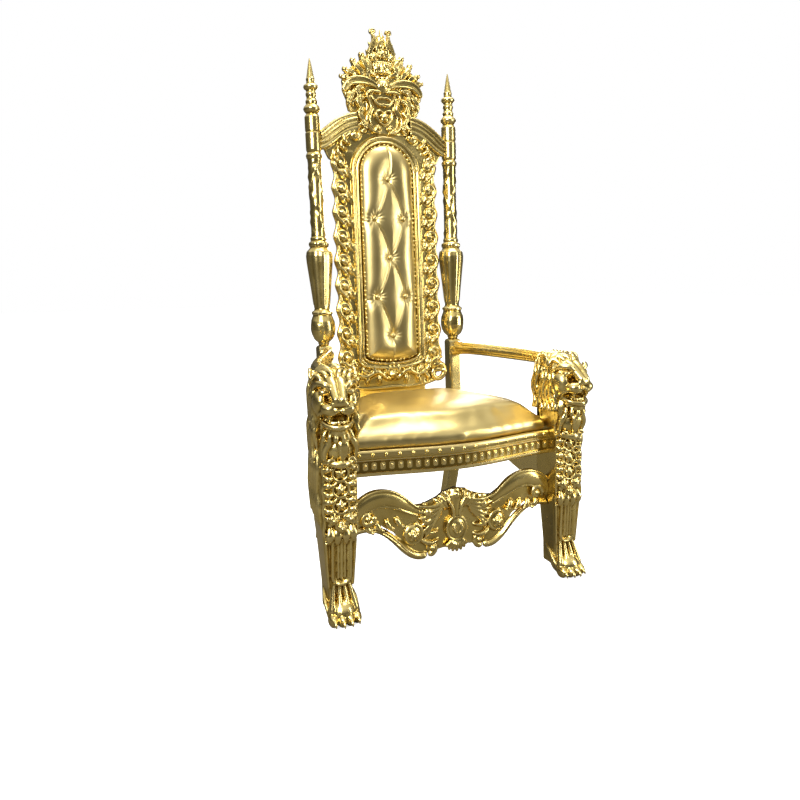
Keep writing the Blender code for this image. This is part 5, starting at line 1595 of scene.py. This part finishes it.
def buttons():
    """Covered buttons, each sunk in its tuft."""
    for i, place in enumerate(button_places()):
        bm = bmesh.new()
        add_ball(bm, (0, 0, 0), (BUTTON_DIAMETER / 2, BUTTON_DIAMETER * 0.3, BUTTON_DIAMETER / 2), 28, 16)
        y = -PAD_EDGE - PAD_BULGE + HOLLOW_DEPTH - BUTTON_DIAMETER * 0.3
        button = make_object(
            f"button_{i + 1}_covered", bm, BACK_PLANE @ Matrix.Translation((place.x, y, place.y)),
        )
        finish_piece(button, LEATHER, "gold_leather", f"button_{i + 1}")


def add_nail(bm, place, radius):
    """A domed nail head, facing -Y."""
    add_ball(bm, place, (radius, radius * 0.7, radius), 10, 6)


def back_nails():
    """Nail heads round the edge of the buttoned back."""
    inset, pitch = 0.0065, 0.0165
    line = arch(OPENING_WIDTH / 2 - inset, ARCH_TOP - inset, OPENING_BOTTOM + inset, OPENING_SAG, 64, 40)
    bm = bmesh.new()
    travel = 0.0
    for (x, z), (u, w) in zip(line, line[1:] + line[:1]):
        travel += math.hypot(u - x, w - z)
        if travel >= pitch:
            travel -= pitch
            add_nail(bm, (u, -PAD_EDGE - 0.0035, w), 0.0042)
    nails = make_object("back_nails", bm, BACK_PLANE)
    finish_piece(nails, BRASS, "carved_gold")


# Seat

def seat_cushion():
    """The crowned seat: cloth inflated from the CAD model's cushion, gathered at the rails."""
    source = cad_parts["seat_cushion"]
    mesh = source.data.copy()
    seat = bpy.data.objects.new("seat_cushion_stuffed", mesh)
    bpy.context.scene.collection.objects.link(seat)
    centre = (CUSHION_LOW + CUSHION_HIGH) / 2
    for vert in mesh.vertices:
        vert.co.x += (centre.x - vert.co.x) * 0.006
        vert.co.y += (centre.y - vert.co.y) * 0.008
    fuse(seat, 0.008)
    applied(seat)
    start = [vert.co.copy() for vert in seat.data.vertices]
    cloth = seat.modifiers.new("stuffing", "CLOTH")
    cloth.settings.use_pressure = True
    cloth.settings.uniform_pressure_force = 4
    cloth.settings.effector_weights.gravity = 0
    cloth.settings.quality = 6
    for step in range(1, 21):
        bpy.context.scene.frame_set(step)
    applied(seat)
    bpy.context.scene.frame_set(1)
    floor_z = CUSHION_LOW.z
    for vert, origin in zip(seat.data.vertices, start):
        travel = vert.co - origin
        most = 0.004 + 0.014 * max(0.0, min(1.0, (origin.z - floor_z - 0.03) / 0.03))
        if travel.length > most:
            vert.co = origin + travel * (most / travel.length)
        vert.co.x = max(CUSHION_LOW.x, min(CUSHION_HIGH.x, vert.co.x))
        vert.co.z = max(floor_z, vert.co.z)
        if abs(origin.x) > LEG_X - LEG_FLAT - 0.004 and origin.y < FRONT + LEG_FLAT + 0.006:
            vert.co = origin
    smooth = seat.modifiers.new("soften", "SMOOTH")
    smooth.factor = 0.6
    smooth.iterations = 10
    finer = seat.modifiers.new("finer", "SUBSURF")
    finer.levels = 1
    finer.render_levels = 1
    applied(seat)
    finish_piece(seat, LEATHER, "gold_leather", "seat_cushion")


def seat_trim():
    """The leatherette turned over the front rail's top, and the row of nails that holds it."""
    section = (
        (-0.0005, -0.016), (-0.003, -0.0145), (-0.0035, -0.006), (-0.0025, 0.003), (0.003, 0.004),
        (0.003, -0.016),
    )
    bm = along_rail(lambda x: [Vector((x, rail_face(x) + y, SEAT_TOP + z)) for y, z in section])
    finish_piece(make_object("seat_covering_edge", bm), LEATHER, "gold_leather")
    bm = bmesh.new()
    count = 17
    for k in range(count):
        x = -RAIL_REACH + 2 * RAIL_REACH * (k + 0.5) / count
        add_nail(bm, (x, rail_face(x) - 0.0035, SEAT_TOP - 0.008), 0.0056)
    finish_piece(make_object("seat_nails", bm), BRASS, "carved_gold")


# Stage, light and camera

def soft_box(name, place, aim, size, power):
    light = bpy.data.lights.new(name, "AREA")
    light.shape = "RECTANGLE"
    light.size, light.size_y = size
    light.energy = power
    obj = bpy.data.objects.new(name, light)
    bpy.context.scene.collection.objects.link(obj)
    obj.location = place
    obj.rotation_euler = (Vector(aim) - Vector(place)).to_track_quat("-Z", "Y").to_euler()


def by_camera(nodes, links):
    """A mix whose last colour is for the camera and whose first is for reflections and light."""
    seen = nodes.new("ShaderNodeLightPath")
    mix = nodes.new("ShaderNodeMix")
    mix.data_type = "RGBA"
    links.new(seen.outputs["Is Camera Ray"], mix.inputs[0])
    return seen.outputs["Is Camera Ray"], mix.inputs[6], mix.inputs[7], mix.outputs[2]


def pale_floor():
    """A floor that is white to the camera and calm in the gold."""
    bm = bmesh.new()
    bmesh.ops.create_grid(bm, x_segments=1, y_segments=1, size=30)
    floor = make_object("floor", bm)
    made, nodes, links, shader = node_material("pale_floor")
    marks = noise_node(nodes, links, 3, 2)
    tint = ramp(nodes, ((0.3, (0.86, 0.86, 0.85)), (0.7, (0.9, 0.9, 0.89))))
    links.new(marks.outputs["Fac"], tint.inputs["Fac"])
    seen, reflected, shown, colour = by_camera(nodes, links)
    reflected.default_value = (0.13, 0.12, 0.1, 1)
    links.new(tint.outputs["Color"], shown)
    links.new(colour, shader.inputs["Base Color"])
    shader.inputs["Roughness"].default_value = 0.6
    shader.inputs["Emission Color"].default_value = (1, 1, 0.99, 1)
    glow = nodes.new("ShaderNodeMath")
    glow.operation = "MULTIPLY"
    links.new(seen, glow.inputs[0])
    glow.inputs[1].default_value = 0.75
    links.new(glow.outputs[0], shader.inputs["Emission Strength"])
    floor.data.materials.append(made)


def studio_walls():
    """Walls that reflect dark at eye height and bright from above, and are white to the camera."""
    world = bpy.data.worlds.new("studio")
    bpy.context.scene.world = world
    world.use_nodes = True
    nodes, links = world.node_tree.nodes, world.node_tree.links
    place = nodes.new("ShaderNodeTexCoord")
    split = nodes.new("ShaderNodeSeparateXYZ")
    links.new(place.outputs["Generated"], split.inputs["Vector"])
    walls = ramp(nodes, (
        (0.0, (0.12, 0.11, 0.09)), (0.48, (0.2, 0.19, 0.17)), (0.52, (0.05, 0.05, 0.045)),
        (0.68, (0.14, 0.14, 0.14)), (0.8, (0.7, 0.7, 0.7)), (1.0, (1.0, 1.0, 1.0)),
    ))
    lift = nodes.new("ShaderNodeMapRange")
    lift.inputs["From Min"].default_value = -1
    links.new(split.outputs["Z"], lift.inputs["Value"])
    links.new(lift.outputs["Result"], walls.inputs["Fac"])
    _, reflected, shown, colour = by_camera(nodes, links)
    links.new(walls.outputs["Color"], reflected)
    shown.default_value = (1, 1, 1, 1)
    links.new(colour, nodes["Background"].inputs["Color"])


def studio():
    pale_floor()
    studio_walls()
    bpy.context.scene.view_settings.view_transform = "Standard"
    soft_box("key", (-2.2, -2.4, 2.6), (0, 0, 0.9), (1.1, 1.8), 135)
    soft_box("fill", (2.6, -2.2, 1.3), (0, 0, 0.8), (0.7, 2.2), 55)
    soft_box("top", (0.3, 0.2, 3.4), (0, 0, 0.6), (2.0, 1.2), 60)
    soft_box("back", (1.6, 2.8, 2.0), (0, 0, 1.0), (1.2, 1.2), 50)


def camera():
    """The photograph's view: from the front, to the sitter's right, at half the throne's height."""
    scale = OVERALL_HEIGHT / 1.7602
    yaw, pitch, roll = math.radians(22.117), math.radians(-5.02), math.radians(-1.067)
    place = Vector((-0.8869, -1.6742, 0.8878)) * scale + Vector((0, FRONT, 0))
    ahead = Vector((math.sin(yaw) * math.cos(pitch), math.cos(yaw) * math.cos(pitch), math.sin(pitch)))
    right = Vector((math.cos(yaw), -math.sin(yaw), 0))
    upward = right.cross(ahead)
    right, upward = (
        right * math.cos(roll) + upward * math.sin(roll),
        upward * math.cos(roll) - right * math.sin(roll),
    )
    data = bpy.data.cameras.new("camera")
    data.sensor_width = 36
    data.lens = 30.05
    data.shift_x = 0.0178
    data.shift_y = -0.069
    obj = bpy.data.objects.new("camera", data)
    bpy.context.scene.collection.objects.link(obj)
    turn = Matrix((right, upward, -ahead)).transposed().to_4x4()
    obj.matrix_world = Matrix.Translation(place) @ turn
    bpy.context.scene.camera = obj


def paint_kept_nodes():
    """The CAD nodes that stay as they are get the finished paints."""
    for name in ("seat_side_rail_left", "seat_side_rail_right", "seat_rear_rail"):
        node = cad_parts[name]
        node.data.materials.clear()
        node.data.materials.append(GOLD)
    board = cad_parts["back_panel"]
    board.data.materials.clear()
    board.data.materials.append(BOARD)


front_legs()
rear_uprights()
arms()
front_rail()
stretcher()
back_frame()
crest()
back_pad()
buttons()
back_nails()
seat_cushion()
seat_trim()
paint_kept_nodes()
studio()
camera()
